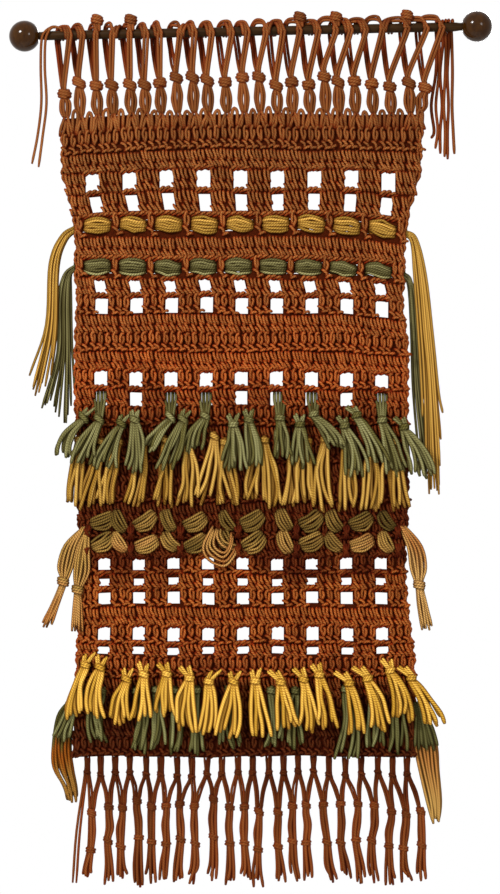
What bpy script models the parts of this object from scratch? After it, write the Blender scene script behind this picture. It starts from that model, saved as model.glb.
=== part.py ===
"""A crochet wall hanging on its turned wooden rod, built as solids in metres.

The origin is the middle of the rod, +Z is up and the worked face of the cloth looks along -Y.
The tables give millimetres: x to the right of the rod's middle, down below the rod's middle.
"""

import math
from collections import namedtuple

import bmesh
import bpy
from mathutils import Vector

MM = 0.001
FRONT = Vector((0, -1, 0))
ALONG_ROD = Vector((1, 0, 0))

# Rod and ball knobs.
ROD_RADIUS = 5.0
ROD_NECK = 4.2
LOOP_REACH = 8.6
ROD_RISE = 5.4
BALL_RADIUS = 17.0
BALL_CENTRE = 248.9
SEAT_RADIUS = 6.5
BORE_RADIUS = 4.7
BORE_DEPTH = 8.0
SLACK = 0.4

# Crochet cloth.
CLOTH = 4.0
WAVE = 2.0
HOLES = 9
PLAIN_OPENING = 7.0
RIBBON_OPENING = 15.4
LOCKS = 3

# Cross-sections of a bar, as shares of its width and depth.
SECTIONS = {
    3: ((-0.5, 0.5), (0.5, 0.5), (0.0, -0.5)),
    4: ((-0.5, -0.5), (-0.5, 0.5), (0.5, 0.5), (0.5, -0.5)),
    6: ((-0.5, 0.0), (-0.25, 0.5), (0.25, 0.5), (0.5, 0.0), (0.25, -0.5), (-0.25, -0.5)),
}

# Outline of the cloth and the columns of its holes, at rising depths.
Outline = namedtuple("Outline", "down left right middle spacing")
OUTLINE = (
    Outline(80, -209, 191, -11.3, 40.7),
    Outline(152, -208, 187, -11.3, 40.7),
    Outline(172, -202, 181, -11.3, 40.7),
    Outline(197, -196, 173, -9.6, 39.4),
    Outline(224, -193, 170, -13.4, 39.1),
    Outline(270, -194, 169, -14.2, 38.5),
    Outline(288, -191, 167, -9.6, 38.5),
    Outline(340, -194, 174, -10.5, 38.7),
    Outline(400, -194, 173, -10.4, 38.6),
    Outline(520, -191, 174, -9.8, 38.2),
    Outline(590, -188, 170, -9.0, 38.0),
    Outline(640, -190, 174, -8.3, 38.1),
    Outline(690, -192, 181, -8.5, 38.4),
    Outline(800, -197, 181, -8.5, 38.4),
)

# Bands of the crochet from the top down. A band with no opening is plain rows.
Band = namedtuple("Band", "top bottom opening")
BANDS = (
    Band(88.4, 105.5, 0),
    Band(105.5, 130.5, 0),
    Band(130.5, 152.0, 0),
    Band(152.0, 172.5, 7.5),
    Band(172.5, 179.0, 0),
    Band(179.0, 197.0, 6.3),
    Band(197.0, 202.5, 0),
    Band(202.5, 224.5, RIBBON_OPENING),
    Band(224.5, 249.5, 0),
    Band(249.5, 270.5, RIBBON_OPENING),
    Band(270.5, 273.5, 0),
    Band(273.5, 288.0, 6.0),
    Band(288.0, 293.5, 0),
    Band(293.5, 310.0, 6.8),
    Band(310.0, 332.0, 0),
    Band(332.0, 353.0, 0),
    Band(353.0, 374.5, 0),
    Band(374.5, 390.5, 7.0),
    Band(390.5, 397.0, 0),
    Band(397.0, 411.5, 6.5),
    Band(411.5, 579.5, 0),
    Band(579.5, 592.0, 6.5),
    Band(592.0, 602.0, 0),
    Band(602.0, 609.5, 5.5),
    Band(609.5, 617.5, 0),
    Band(617.5, 630.0, 6.5),
    Band(630.0, 655.5, 0),
    Band(655.5, 670.0, 6.5),
    Band(670.0, 677.5, 0),
    Band(677.5, 685.0, 6.5),
    Band(685.0, 799.0, 0),
)

# Loops that carry the cloth: the knot of each, and where its yarn crosses the rod.
Loop = namedtuple("Loop", "knot down crossing")
LOOPS = (
    Loop(-205, 69, -199),
    Loop(-189, 57, -185),
    Loop(-170, 60, -170),
    Loop(-153, 59, -152),
    Loop(-133, 59, -133),
    Loop(-117, 59, -115),
    Loop(-100, 57, -100),
    Loop(-82, 51, -78),
    Loop(-64, 51, -62),
    Loop(-48, 54, -43),
    Loop(-28, 56, -21),
    Loop(-9, 51, -4),
    Loop(9, 50, 16),
    Loop(28, 60, 35),
    Loop(45, 56, 53),
    Loop(64, 59, 74),
    Loop(81, 50, 93),
    Loop(96, 56, 109),
    Loop(114, 55, 126),
    Loop(133, 58, 144),
    Loop(153, 61, 171),
    Loop(174, 57, 192),
    Loop(192, 62, 209),
)

# Tassels: where each is knotted, then the left and right side of its fan and how far down it ends.
Tassel = namedtuple("Tassel", "knot down left right end")
UPPER_GREEN = (
    Tassel(-183, 425, -211, -200, 465),
    Tassel(-166, 427, -198, -176, 472),
    Tassel(-142, 432, -172, -148, 478),
    Tassel(-127, 427, -136, -120, 482),
    Tassel(-88, 425, -118, -106, 461),
    Tassel(-74, 428, -104, -82, 479),
    Tassel(-50, 424, -77, -52, 461),
    Tassel(-19, 433, -28, -8, 478),
    Tassel(-2, 428, -2, 12, 477),
    Tassel(32, 425, 24, 42, 466),
    Tassel(54, 432, 48, 68, 477),
    Tassel(69, 421, 84, 102, 458),
    Tassel(103, 434, 106, 126, 486),
    Tassel(116, 423, 132, 150, 472),
    Tassel(144, 429, 152, 168, 485),
    Tassel(168, 436, 174, 202, 487),
)
UPPER_YELLOW = (
    Tassel(-188, 450, -204, -188, 522),
    Tassel(-176, 452, -183, -170, 524),
    Tassel(-155, 450, -165, -144, 521),
    Tassel(-127, 451, -138, -116, 522),
    Tassel(-101, 450, -111, -90, 519),
    Tassel(-76, 450, -85, -67, 518),
    Tassel(-46, 450, -62, -36, 516),
    Tassel(-18, 452, -31, -8, 516),
    Tassel(11, 450, -2, 21, 524),
    Tassel(35, 455, 27, 44, 521),
    Tassel(60, 451, 50, 70, 519),
    Tassel(82, 450, 75, 90, 524),
    Tassel(106, 450, 97, 115, 524),
    Tassel(131, 452, 121, 142, 524),
    Tassel(158, 452, 149, 172, 524),
)
LOWER_YELLOW = (
    Tassel(-181, 697, -202, -184, 751),
    Tassel(-165, 699, -178, -160, 752),
    Tassel(-136, 711, -156, -134, 759),
    Tassel(-117, 706, -130, -112, 752),
    Tassel(-92, 705, -102, -84, 751),
    Tassel(-67, 710, -78, -60, 765),
    Tassel(-46, 716, -56, -41, 768),
    Tassel(-19, 715, -36, -13, 771),
    Tassel(5, 714, -1, 18, 771),
    Tassel(33, 715, 28, 50, 765),
    Tassel(58, 711, 55, 71, 768),
    Tassel(75, 706, 76, 92, 762),
    Tassel(108, 717, 107, 126, 770),
    Tassel(128, 711, 132, 150, 764),
    Tassel(153, 703, 158, 175, 755),
    Tassel(176, 713, 190, 208, 760),
)
LOWER_GREEN = (
    Tassel(-187, 725, -216, -196, 779),
    Tassel(-164, 725, -176, -158, 780),
    Tassel(-125, 725, -130, -118, 791),
    Tassel(-104, 725, -109, -97, 787),
    Tassel(-84, 725, -90, -76, 791),
    Tassel(-60, 725, -67, -54, 791),
    Tassel(-23, 725, -34, -12, 785),
    Tassel(23, 725, 16, 31, 782),
    Tassel(49, 725, 40, 58, 788),
    Tassel(105, 725, 95, 116, 797),
    Tassel(135, 725, 128, 143, 785),
    Tassel(160, 725, 152, 170, 791),
)

# Fan-shaped puffs of the variegated band.
UPPER_PUFFS = (-171, -142, -114, -84, -58, -31, 8, 35, 65, 104, 126, 150)
LOWER_PUFFS = (-167, -144, -118, -90, -63, -34, 6, 35, 66, 93, 120, 148)

# Knotted fringe along the bottom: the yarn leaves the cloth at the first row of places,
# neighbours meet in the knots of the second, and each string has a lump lower down.
FRINGE_STARTS = (
    -180, -165, -149, -133, -115, -99, -81, -65, -48, -32, -14,
    2, 20, 36, 52, 69, 86, 104, 122, 140, 156, 172,
)
Knot = namedtuple("Knot", "knot down lump end")
FRINGE_KNOTS = (
    Knot(-175, 860, -176, -181),
    Knot(-156, 853, -157, -155),
    Knot(-141, 854, -143, -141),
    Knot(-125, 846, -123, -123),
    Knot(-109, 852, -109, -110),
    Knot(-93, 851, -93, -96),
    Knot(-78, 850, -77, -80),
    Knot(-62, 853, -61, -65),
    Knot(-41, 845, -41, -44),
    Knot(-23, 854, -23, -24),
    Knot(-7, 854, -7, -6),
    Knot(9, 859, 8, 8),
    Knot(30, 859, 30, 32),
    Knot(46, 852, 46, 50),
    Knot(61, 851, 61, 63),
    Knot(80, 851, 84, 90),
    Knot(99, 850, 99, 106),
    Knot(118, 850, 116, 121),
    Knot(136, 853, 133, 136),
    Knot(155, 860, 152, 154),
    Knot(171, 862, 168, 172),
    Knot(187, 858, 188, 188),
)
FRINGE_END = 933


def point(x, y, down):
    """A place given in millimetres, measured downwards."""
    return Vector((x, y, -down)) * MM


def share(value, start, end):
    """How far value has got from start to end, held between 0 and 1."""
    return min(1.0, max(0.0, (value - start) / (end - start)))


def outline_at(down):
    """The row of the outline table at one depth."""
    for upper, lower in zip(OUTLINE, OUTLINE[1:]):
        if down <= lower.down:
            break
    part = share(down, upper.down, lower.down)
    return Outline(*(a + (b - a) * part for a, b in zip(upper, lower)))


def hole_centres(down):
    """Middles of the nine openings of a band."""
    row = outline_at(down)
    return [row.middle + (i - HOLES // 2) * row.spacing for i in range(HOLES)]


def rod_down(x):
    """Depth of the rod's middle line, which rises to the right."""
    return -ROD_RISE * x / BALL_CENTRE


def sag(x, down):
    """How far the rows droop towards the two sides of the cloth."""
    left = 17 * (1 - share(down, 0, 250)) * share(-x, 60, 200) ** 2
    right = 8 * share(down, 60, 230) * (1 - share(down, 320, 430)) * share(x, 60, 170) ** 2
    return (left + right) * share(down, 75, 105)


def drape(bm):
    """Lays flat work on the cloth's soft waves, which deepen downwards, and lets its rows droop."""
    for vert in bm.verts:
        x = vert.co.x / MM
        down = -vert.co.z / MM
        vert.co.y += WAVE * MM * down / 800 * math.sin(x / 60)
        vert.co.z -= sag(x, down) * MM


def loft(bm, rings):
    """Adds one closed solid whose skin runs from ring to ring."""
    rows = [[bm.verts.new(corner) for corner in ring] for ring in rings]
    count = len(rows[0])
    for upper, lower in zip(rows, rows[1:]):
        for k in range(count):
            after = (k + 1) % count
            bm.faces.new((upper[k], upper[after], lower[after], lower[k]))
    bm.faces.new(rows[0])
    bm.faces.new(rows[-1])


def bar(bm, path, sizes, sides=4, reference=FRONT):
    """Adds a closed bar along a path. sizes are its width and depth at each place."""
    rings = []
    last = len(path) - 1
    for i, (centre, (width, depth)) in enumerate(zip(path, sizes)):
        ahead = path[min(i + 1, last)] - path[max(i - 1, 0)]
        across = ahead.cross(reference).normalized() * width * MM
        through = across.cross(ahead).normalized() * depth * MM
        rings.append([centre + across * a + through * b for a, b in SECTIONS[sides]])
    loft(bm, rings)


def material(name, color, roughness, sheen=0.0):
    """A plain Principled material with its own name."""
    made = bpy.data.materials.new(name)
    made.use_nodes = True
    shader = made.node_tree.nodes["Principled BSDF"]
    shader.inputs["Base Color"].default_value = (*color, 1)
    shader.inputs["Roughness"].default_value = roughness
    shader.inputs["Sheen Weight"].default_value = sheen
    made.diffuse_color = (*color, 1)
    return made


def new_object(name, bm, collection, look=None, smooth=False):
    """Makes an object of a finished bmesh."""
    bmesh.ops.recalc_face_normals(bm, faces=bm.faces[:])
    mesh = bpy.data.meshes.new(name)
    bm.to_mesh(mesh)
    bm.free()
    for face in mesh.polygons:
        face.use_smooth = smooth
    if look:
        mesh.materials.append(look)
    obj = bpy.data.objects.new(name, mesh)
    collection.objects.link(obj)
    return obj


def fused(name, backing, growth, look):
    """One body: the backing with everything of the growth joined on."""
    obj = new_object(name, backing, PIECES, look)
    other = new_object(name + "_growth", growth, HELPERS)
    other.hide_render = True
    other.display_type = "WIRE"
    join = obj.modifiers.new("Join", "BOOLEAN")
    join.operation = "UNION"
    join.solver = "EXACT"
    join.use_self = True
    join.object = other
    return obj


# Rod: a thin turned stick, necked where it enters the ball knobs.
def build_rod(look):
    reach = BALL_CENTRE - math.sqrt(BALL_RADIUS**2 - SEAT_RADIUS**2)
    tip = reach + BORE_DEPTH - SLACK
    profile = (
        (-tip, ROD_NECK),
        (-reach + 3, ROD_NECK),
        (-reach + 9, ROD_RADIUS),
        (reach - 9, ROD_RADIUS),
        (reach - 3, ROD_NECK),
        (tip, ROD_NECK),
    )
    bm = bmesh.new()
    sides = 12
    rings = []
    for x, radius in profile:
        turns = [2 * math.pi * k / sides for k in range(sides)]
        rings.append([point(x, radius * math.cos(t), radius * math.sin(t)) for t in turns])
    loft(bm, rings)
    rod = new_object("rod", bm, PIECES, look, smooth=True)
    rod.rotation_euler.y = -math.atan2(ROD_RISE, BALL_CENTRE)


# Ball knobs: a turned sphere with a blind bore for the end of the rod.
def build_ball(name, side, look):
    seat = math.sqrt(BALL_RADIUS**2 - SEAT_RADIUS**2)
    profile = [(0, seat - BORE_DEPTH), (BORE_RADIUS, seat - BORE_DEPTH), (BORE_RADIUS, seat)]
    first = math.asin(SEAT_RADIUS / BALL_RADIUS)
    steps = 8
    for i in range(steps + 1):
        turn = first + (math.pi - first) * i / steps
        profile.append((BALL_RADIUS * math.sin(turn), BALL_RADIUS * math.cos(turn)))
    profile[-1] = (0, -BALL_RADIUS)
    mesh = bpy.data.meshes.new(name)
    verts = [(x * MM, 0, z * MM) for x, z in profile]
    mesh.from_pydata(verts, [(i, i + 1) for i in range(len(verts) - 1)], [])
    mesh.materials.append(look)
    ball = bpy.data.objects.new(name, mesh)
    PIECES.objects.link(ball)
    screw = ball.modifiers.new("Turn", "SCREW")
    screw.steps = 18
    screw.render_steps = 18
    screw.use_merge_vertices = True
    screw.merge_threshold = 0.00001
    screw.use_smooth_shade = True
    ball.location = point(side * BALL_CENTRE, 0, rod_down(side * BALL_CENTRE))
    ball.rotation_euler.y = -side * math.pi / 2 - math.atan2(ROD_RISE, BALL_CENTRE)


# Crochet cloth: a sheet of nineteen columns, left open where the openwork rows have holes.
def band_levels():
    """Depth and opening at each edge of a band; a plain edge takes its neighbour's opening."""
    levels = [(BANDS[0].top, PLAIN_OPENING)]
    for upper, lower in zip(BANDS, BANDS[1:] + BANDS[-1:]):
        opening = max(upper.opening, lower.opening) or PLAIN_OPENING
        levels.append((upper.bottom, opening))
    return levels


def build_cloth(look):
    bm = bmesh.new()
    rows = []
    for i, (down, opening) in enumerate(band_levels()):
        edge = outline_at(down)
        places = [edge.left]
        for centre in hole_centres(down):
            places += [centre - opening, centre + opening]
        places.append(edge.right)
        ridge = -0.7 if i % 2 and opening == PLAIN_OPENING else 0.0
        rows.append([bm.verts.new(point(x, -CLOTH / 2 + ridge, down)) for x in places])
    for band, upper, lower in zip(BANDS, rows, rows[1:]):
        for k in range(len(upper) - 1):
            if band.opening and k % 2:
                continue
            bm.faces.new((upper[k], upper[k + 1], lower[k + 1], lower[k]))
    made = bmesh.ops.extrude_face_region(bm, geom=bm.faces[:])
    back = [item for item in made["geom"] if isinstance(item, bmesh.types.BMVert)]
    bmesh.ops.translate(bm, verts=back, vec=Vector((0, CLOTH, 0)) * MM)
    drape(bm)
    new_object("crochet_cloth", bm, PIECES, look)


# Loops: yarn knotted above the cloth and carried over the rod, on a narrow heading strip.
def wrapped_knot(bm, loop, foot, foot_down):
    """The leaf-shaped bundle rising from the cloth and the two wraps knotted round it."""
    belly = (loop.down + foot_down) / 2 + 3
    places = (
        (foot, foot_down, 5.0, 2.8),
        ((loop.knot + foot) / 2, belly, 11.0, 4.6),
        (loop.knot, loop.down + 7, 8.0, 6.0),
        (loop.knot, loop.down + 4, 12.5, 9.0),
        (loop.knot, loop.down, 10.0, 7.2),
        (loop.knot, loop.down - 4, 12.5, 9.0),
        (loop.knot, loop.down - 7, 9.0, 7.4),
    )
    path = [point(x, 0, down) for x, down, _, _ in places]
    bar(bm, path, [(width, depth) for _, _, width, depth in places])


def carrying_yarn(bm, loop):
    """The flat bundle from the knot up the front, over the rod and down the back."""
    back = loop.crossing - 6
    middle = loop.crossing - 3
    path = [
        point(loop.knot + 0.5, -2.0, loop.down - 5),
        point(loop.crossing, -LOOP_REACH, rod_down(loop.crossing)),
        point(middle, 0, rod_down(middle) - LOOP_REACH - 2),
        point(back, LOOP_REACH, rod_down(back)),
        point(loop.knot - 0.5, 2.0, loop.down - 5),
    ]
    sizes = [(2.2, 4.4), (2.6, 8.0), (2.6, 8.0), (2.6, 7.4), (2.2, 4.4)]
    bar(bm, path, sizes, reference=ALONG_ROD)


def build_loops(look):
    backing = bmesh.new()
    edge = outline_at(84)
    places = [edge.left + (edge.right - edge.left) * i / 12 for i in range(13)]
    path = [point(x, 0, 84) for x in places]
    bar(backing, path, [(7.6, CLOTH)] * len(path))
    drape(backing)
    growth = bmesh.new()
    for loop in LOOPS:
        foot = min(max(loop.knot + 2, edge.left + 6), edge.right - 6)
        wrapped_knot(growth, loop, foot, 84 + sag(foot, 84))
        carrying_yarn(growth, loop)
    fused("hanging_loops", backing, growth, look)


# Ribbons: yarn woven behind the posts of two rows, swelling in the openings, with loose tails.
def ribbon_body(bm, down, swell):
    """The woven length, from just outside the left edge to just outside the right."""
    edge = outline_at(down)
    stations = [(edge.left - 2, 11, 3.0, 7.0)]
    inside = RIBBON_OPENING - 0.3
    for centre in hole_centres(down):
        stations += [
            (centre - inside, 11, 2.9, 6.6),
            (centre - inside + 7, swell, -3.8, 5.8),
            (centre + inside - 7, swell, -3.8, 5.8),
            (centre + inside, 11, 2.9, 6.6),
        ]
    stations.append((edge.right + 2, 11, 3.0, 7.0))
    rings = []
    for x, height, front, back in stations:
        middle = (front + back) / 2
        depth = (back - front)
        rings.append([point(x, middle + depth * b, down + height * a) for a, b in SECTIONS[6]])
    loft(bm, rings)


# Each tail: its knees as x, y, depth, spread sideways and spread in depth, then its tips
# from the outermost strand to the innermost.
Tail = namedtuple("Tail", "knees tips")
YELLOW_TAILS = (
    Tail(
        ((-192, 5, 213.5, 0, 2.5), (-205, 4, 226, 2.4, 2.4), (-217, 3, 257, 4, 0), (-220, 3, 325, 4.4, 0)),
        ((-243, 380), (-236, 400), (-229, 390), (-219, 366)),
    ),
    Tail(
        ((169, 5, 213.5, 0, 2.5), (182, 4, 224, -2.4, 2.4), (191, 3, 262, -4.2, 0), (196, 3, 390, -5.4, 0)),
        ((215, 420), (208, 471), (201, 430), (194, 424)),
    ),
)
GREEN_TAILS = (
    Tail(
        ((-193, 5, 260, 0, 2.5), (-200, 9, 275, 2.2, 2.4), (-205, 11, 305, 4, 0), (-206, 11, 350, 4.6, 0)),
        ((-228, 411), (-218, 408), (-206, 431), (-198, 405)),
    ),
    Tail(
        ((168, 5, 260, 0, 3.2), (178, 9, 272, -2.2, 3), (184, 11, 320, -4, 0), (186, 11, 395, -4.4, 0)),
        ((204, 478), (196, 486), (187, 482)),
    ),
)


def tail_strands(bm, tail):
    """Parts the end of a ribbon into strands that hang beside the cloth."""
    count = len(tail.tips)
    for k, (tip_x, tip_down) in enumerate(tail.tips):
        offset = k - (count - 1) / 2
        path = []
        for x, y, down, sideways, deeper in tail.knees:
            path.append(point(x + offset * sideways, y, down + offset * deeper))
        path.append(point(tip_x, tail.knees[-1][1], tip_down))
        sizes = [(2.2, 2.8)] + [(3.2, 3.2)] * (len(path) - 2) + [(2.6, 2.4)]
        bar(bm, path, sizes, sides=3)


def build_ribbon(name, down, swell, tails, look):
    body = bmesh.new()
    ribbon_body(body, down, swell)
    drape(body)
    growth = bmesh.new()
    for tail in tails:
        tail_strands(growth, tail)
    drape(growth)
    fused(name, body, growth, look)


# Tassel rows: a narrow strip laid on the cloth with knotted tassels hanging from it.
def tassel_strip(bm, down, height, front, back):
    edge = outline_at(down)
    count = 10
    places = [edge.left + 1 + (edge.right - edge.left - 2) * i / count for i in range(count + 1)]
    path = [point(x, (front + back) / 2, down) for x in places]
    bar(bm, path, [(height, back - front)] * len(path))


def tassel_knot(bm, row, strip_down, layer):
    """Neck and knot of one tassel, standing out from the strip."""
    path = [
        point(row.knot, -4.0, strip_down - 1.5),
        point(row.knot, layer, row.down - 5),
        point(row.knot, layer, row.down + 5),
    ]
    bar(bm, path, [(4.0, 2.6), (9.0, 5.4), (11.0, 5.4)])


def tassel_locks(bm, row, root, layer, bowed):
    """Locks that leave a root at a given y and depth and fan out to their ends."""
    fan = row.right - row.left
    width = 0.8 * fan / LOCKS
    root_y, root_down = root
    for k in range(LOCKS):
        across = k / (LOCKS - 1)
        start = row.knot + (across - 0.5) * 6.4
        end = row.left + width / 2 + (fan - width) * across
        end_down = row.end + (k * 2 + row.knot) % 5 - 2
        path = [point(start, root_y, root_down)]
        sizes = [(2.0, 2.8)]
        if bowed:
            bow = start + (end - start) * 0.7
            path.append(point(bow, layer - 0.8, (root_down + end_down) / 2))
            sizes.append((width, 3.4))
        path.append(point(end, layer, end_down))
        sizes.append((width * 0.9, 2.6))
        bar(bm, path, sizes, sides=3)


def build_front_tassels(name, rows, strip_down, layers, look):
    """A row of knotted tassels that stands out in front, in two layers by turns."""
    backing = bmesh.new()
    tassel_strip(backing, strip_down, 7.0, -5.6, -2.6)
    drape(backing)
    growth = bmesh.new()
    for i, row in enumerate(rows):
        layer = layers[i % 2]
        tassel_knot(growth, row, strip_down, layer)
        tassel_locks(growth, row, (layer, row.down + 3), layer, True)
    drape(growth)
    fused(name, backing, growth, look)


def build_back_tassels(name, rows, strip_down, layer, look):
    """A row of tassels behind the front one, which hides all but its locks."""
    backing = bmesh.new()
    tassel_strip(backing, strip_down, 7.0, -5.8, -2.6)
    drape(backing)
    growth = bmesh.new()
    for row in rows:
        tassel_locks(growth, row, (-4.2, strip_down + 1), layer, False)
    drape(growth)
    fused(name, backing, growth, look)


# Puff band: fan-shaped puffs above and below a strip, with a knotted side tassel at each end.
def leaf(bm, root, tip, width):
    """One puff, narrow where it is gathered and swelling towards its tip."""
    path = [root, root.lerp(tip, 0.72), tip]
    bar(bm, path, [(3.0, 2.4), (width, 7.0), (width * 0.6, 4.0)])


def build_puffs(look):
    backing = bmesh.new()
    tassel_strip(backing, 547, 6.0, -6.0, -3.0)
    drape(backing)
    growth = bmesh.new()
    for i, x in enumerate(UPPER_PUFFS):
        lean = 5 if i % 2 else -5
        leaf(growth, point(x - lean, -5, 546), point(x + lean, -9, 529), 14.5)
    for i, x in enumerate(LOWER_PUFFS):
        lean = -4 if i % 2 else 4
        leaf(growth, point(x - lean, -5, 548), point(x + lean, -9, 573), 15.5)
    sides = (
        ((-183, -5, 548), (-198, -5, 574), (-206, -4, 604), (-215, -4, 626), (-223, -4, 653)),
        ((-180, -5, 549), (-190, -6, 578), (-191, -5, 612), (-192, -5, 634), (-194, -5, 657)),
        ((166, -5, 548), (184, -5, 574), (186, -5, 608), (189, -5, 632), (194, -5, 656)),
        ((162, -5, 549), (172, -5, 570), (173, -5, 582), (173, -5, 590), (174, -5, 598)),
    )
    sizes = [(5.0, 3.0), (7.0, 5.0), (8.0, 6.0), (5.5, 4.0), (4.5, 3.0)]
    for places in sides:
        bar(growth, [point(*place) for place in places], sizes)
    drape(growth)
    fused("puff_band", backing, growth, look)


# Side tails: loose variegated yarn beside the lower tassels, held by a small head.
def build_side_tail(name, head, tips, look):
    x, down = head
    layer = 4.5
    backing = bmesh.new()
    bar(backing, [point(x, layer, down), point(x, layer, down + 8)], [(9, 4.5), (10, 4.5)])
    drape(backing)
    growth = bmesh.new()
    for k, (tip_x, tip_down) in enumerate(tips):
        start = x + (k - 1) * 3.4
        bulge = (start + tip_x) / 2 + (5 if x > 0 else -5)
        path = [
            point(start, layer, down + 5),
            point(bulge, layer, (down + tip_down) / 2),
            point(tip_x, layer, tip_down),
        ]
        bar(growth, path, [(3.0, 3.0), (4.2, 3.6), (3.2, 2.4)], sides=3)
    drape(growth)
    fused(name, backing, growth, look)


# Bottom fringe: yarn knotted into a net below the cloth, then hanging free.
def fringe_string(bm, knot, end_down):
    """Knot, string and lower lump of one string, with its two loose ends."""
    lump_down = knot.down + 40
    places = (
        (knot.knot, knot.down - 6, 8.4),
        (knot.knot, knot.down - 2, 9.6),
        (knot.knot - 0.5, knot.down + 2, 7.6),
        (knot.knot - 1, knot.down + 6, 9.0),
        ((knot.knot + knot.lump) / 2, knot.down + 22, 5.4),
        (knot.lump, lump_down + 3, 9.0),
    )
    path = [point(x, 0, down) for x, down, _ in places]
    bar(bm, path, [(size, min(size, 7.0) * 0.9) for _, _, size in places])
    for side in (-1, 1):
        path = [
            point(knot.lump + side * 2.2, 0, lump_down + 1),
            point(knot.end + side * 3.4, 0, end_down + side * 2),
        ]
        bar(bm, path, [(2.8, 3.4), (4.2, 3.0)], sides=3)


def build_fringe(look):
    backing = bmesh.new()
    tassel_strip(backing, 802.8, 6.4, -2.0, 2.0)
    drape(backing)
    growth = bmesh.new()
    last = len(FRINGE_KNOTS) - 1
    for i, x in enumerate(FRINGE_STARTS):
        for side, knot in ((-1, FRINGE_KNOTS[max(i - 1, 0)]), (1, FRINGE_KNOTS[i])):
            path = [
                point(x + side * 2.5, 0, 803),
                point(knot.knot - side * 2.0, 0, knot.down - 4),
            ]
            if side < 0 and i == 0:
                path = [point(x - 2.5, 0, 803), point(-190, 0, 880), point(-195, 0, 936)]
            bar(growth, path, [(4.0, 3.2)] + [(3.0, 3.0)] * (len(path) - 1), sides=3)
    for i, knot in enumerate(FRINGE_KNOTS):
        fringe_string(growth, knot, FRINGE_END + (i * 5) % 8 - 4)
    drape(growth)
    fused("bottom_fringe", backing, growth, look)


# Loose cords: yarn ends left hanging from the rod beside the outermost loops.
def build_left_cord(look):
    bm = bmesh.new()
    path = [
        point(-209, -1.5, rod_down(-209) - 7.5),
        point(-217, -3.5, rod_down(-217) - 8.0),
        point(-224, -7.4, rod_down(-224) - 3.0),
        point(-227, -7.6, 14),
        point(-228, -7.4, 46),
    ]
    bar(bm, path, [(4.0, 2.4), (4.6, 2.4), (6.0, 2.4), (8.6, 2.6), (8.2, 2.6)])
    growth = bmesh.new()
    for start, knee, tip, tip_down in ((-230.4, -230, -240, 146), (-225.6, -224, -233, 150)):
        path = [point(start, -7.4, 42), point(knee, -7, 80), point(tip, -6, tip_down)]
        bar(growth, path, [(3.2, 2.4), (3.2, 2.8), (2.8, 2.4)], sides=3)
    fused("loose_cord_left", bm, growth, look)


def build_right_cords(look):
    bm = bmesh.new()
    x = 224
    reach = LOOP_REACH
    path = [
        point(x + 1, -reach, rod_down(x) + 7),
        point(x, -reach, rod_down(x)),
        point(x, 0, rod_down(x) - reach - 2),
        point(x, reach, rod_down(x)),
        point(x - 2, reach + 1.5, rod_down(x) + 12),
    ]
    bar(bm, path, [(2.6, 9.0)] * len(path), reference=ALONG_ROD)
    growth = bmesh.new()
    tips = ((200, 120), (207, 132), (213, 139), (218, 134), (225, 135))
    for k, (tip_x, tip_down) in enumerate(tips):
        start = x - 6 + k * 2
        path = [
            point(start, reach + 1.5, rod_down(x) + 10),
            point((start * 2 + tip_x) / 3, reach + 4, 55),
            point(tip_x, reach + 2, tip_down),
        ]
        bar(growth, path, [(2.4, 2.6), (3.2, 3.0), (2.8, 2.4)], sides=3)
    fused("loose_cords_right", bm, growth, look)


for old in list(bpy.data.objects):
    bpy.data.objects.remove(old)

PIECES = bpy.data.collections.new("crochet_wall_hanging")
HELPERS = bpy.data.collections.new("helpers")
for made in (PIECES, HELPERS):
    bpy.context.scene.collection.children.link(made)

WOOD = material("dark_turned_wood", (0.055, 0.030, 0.016), 0.35)
BALL_WOOD = material("polished_ball_wood", (0.085, 0.045, 0.022), 0.18)
BROWN = material("brown_cotton_yarn", (0.330, 0.120, 0.040), 0.9, 0.3)
YELLOW = material("yellow_cotton_yarn", (0.660, 0.380, 0.070), 0.9, 0.3)
GREEN = material("green_cotton_yarn", (0.165, 0.190, 0.075), 0.9, 0.3)
MIXED = material("variegated_cotton_yarn", (0.330, 0.190, 0.060), 0.9, 0.3)

build_rod(WOOD)
build_ball("ball_left", -1, BALL_WOOD)
build_ball("ball_right", 1, BALL_WOOD)
build_cloth(BROWN)
build_loops(BROWN)
build_ribbon("yellow_ribbon", 213.5, 18.6, YELLOW_TAILS, YELLOW)
build_ribbon("green_ribbon", 260.0, 17.6, GREEN_TAILS, GREEN)
build_front_tassels("upper_green_tassels", UPPER_GREEN, 415.5, (-12.0, -15.5), GREEN)
build_back_tassels("upper_yellow_tassels", UPPER_YELLOW, 440.0, -6.2, YELLOW)
build_puffs(MIXED)
build_front_tassels("lower_yellow_tassels", LOWER_YELLOW, 691.0, (-12.5, -16.0), YELLOW)
build_back_tassels("lower_green_tassels", LOWER_GREEN, 719.0, -6.2, GREEN)
build_side_tail("side_tail_left", (-198, 737), ((-215, 835), (-206, 846), (-193, 846)), MIXED)
build_side_tail("side_tail_right", (182, 742), ((190, 838), (198, 862), (204, 872)), MIXED)
build_fringe(BROWN)
build_left_cord(BROWN)
build_right_cords(BROWN)
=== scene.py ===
"""The looks of a crochet wall hanging on its turned wooden rod, worked strand by strand in yarn.

Tables and paths are in millimetres: x to the right of the rod's middle, y away from the worked
face, and down below the rod's middle. Meshes, lights and the depths of colours are in metres.
"""

import math
from collections import namedtuple

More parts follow.
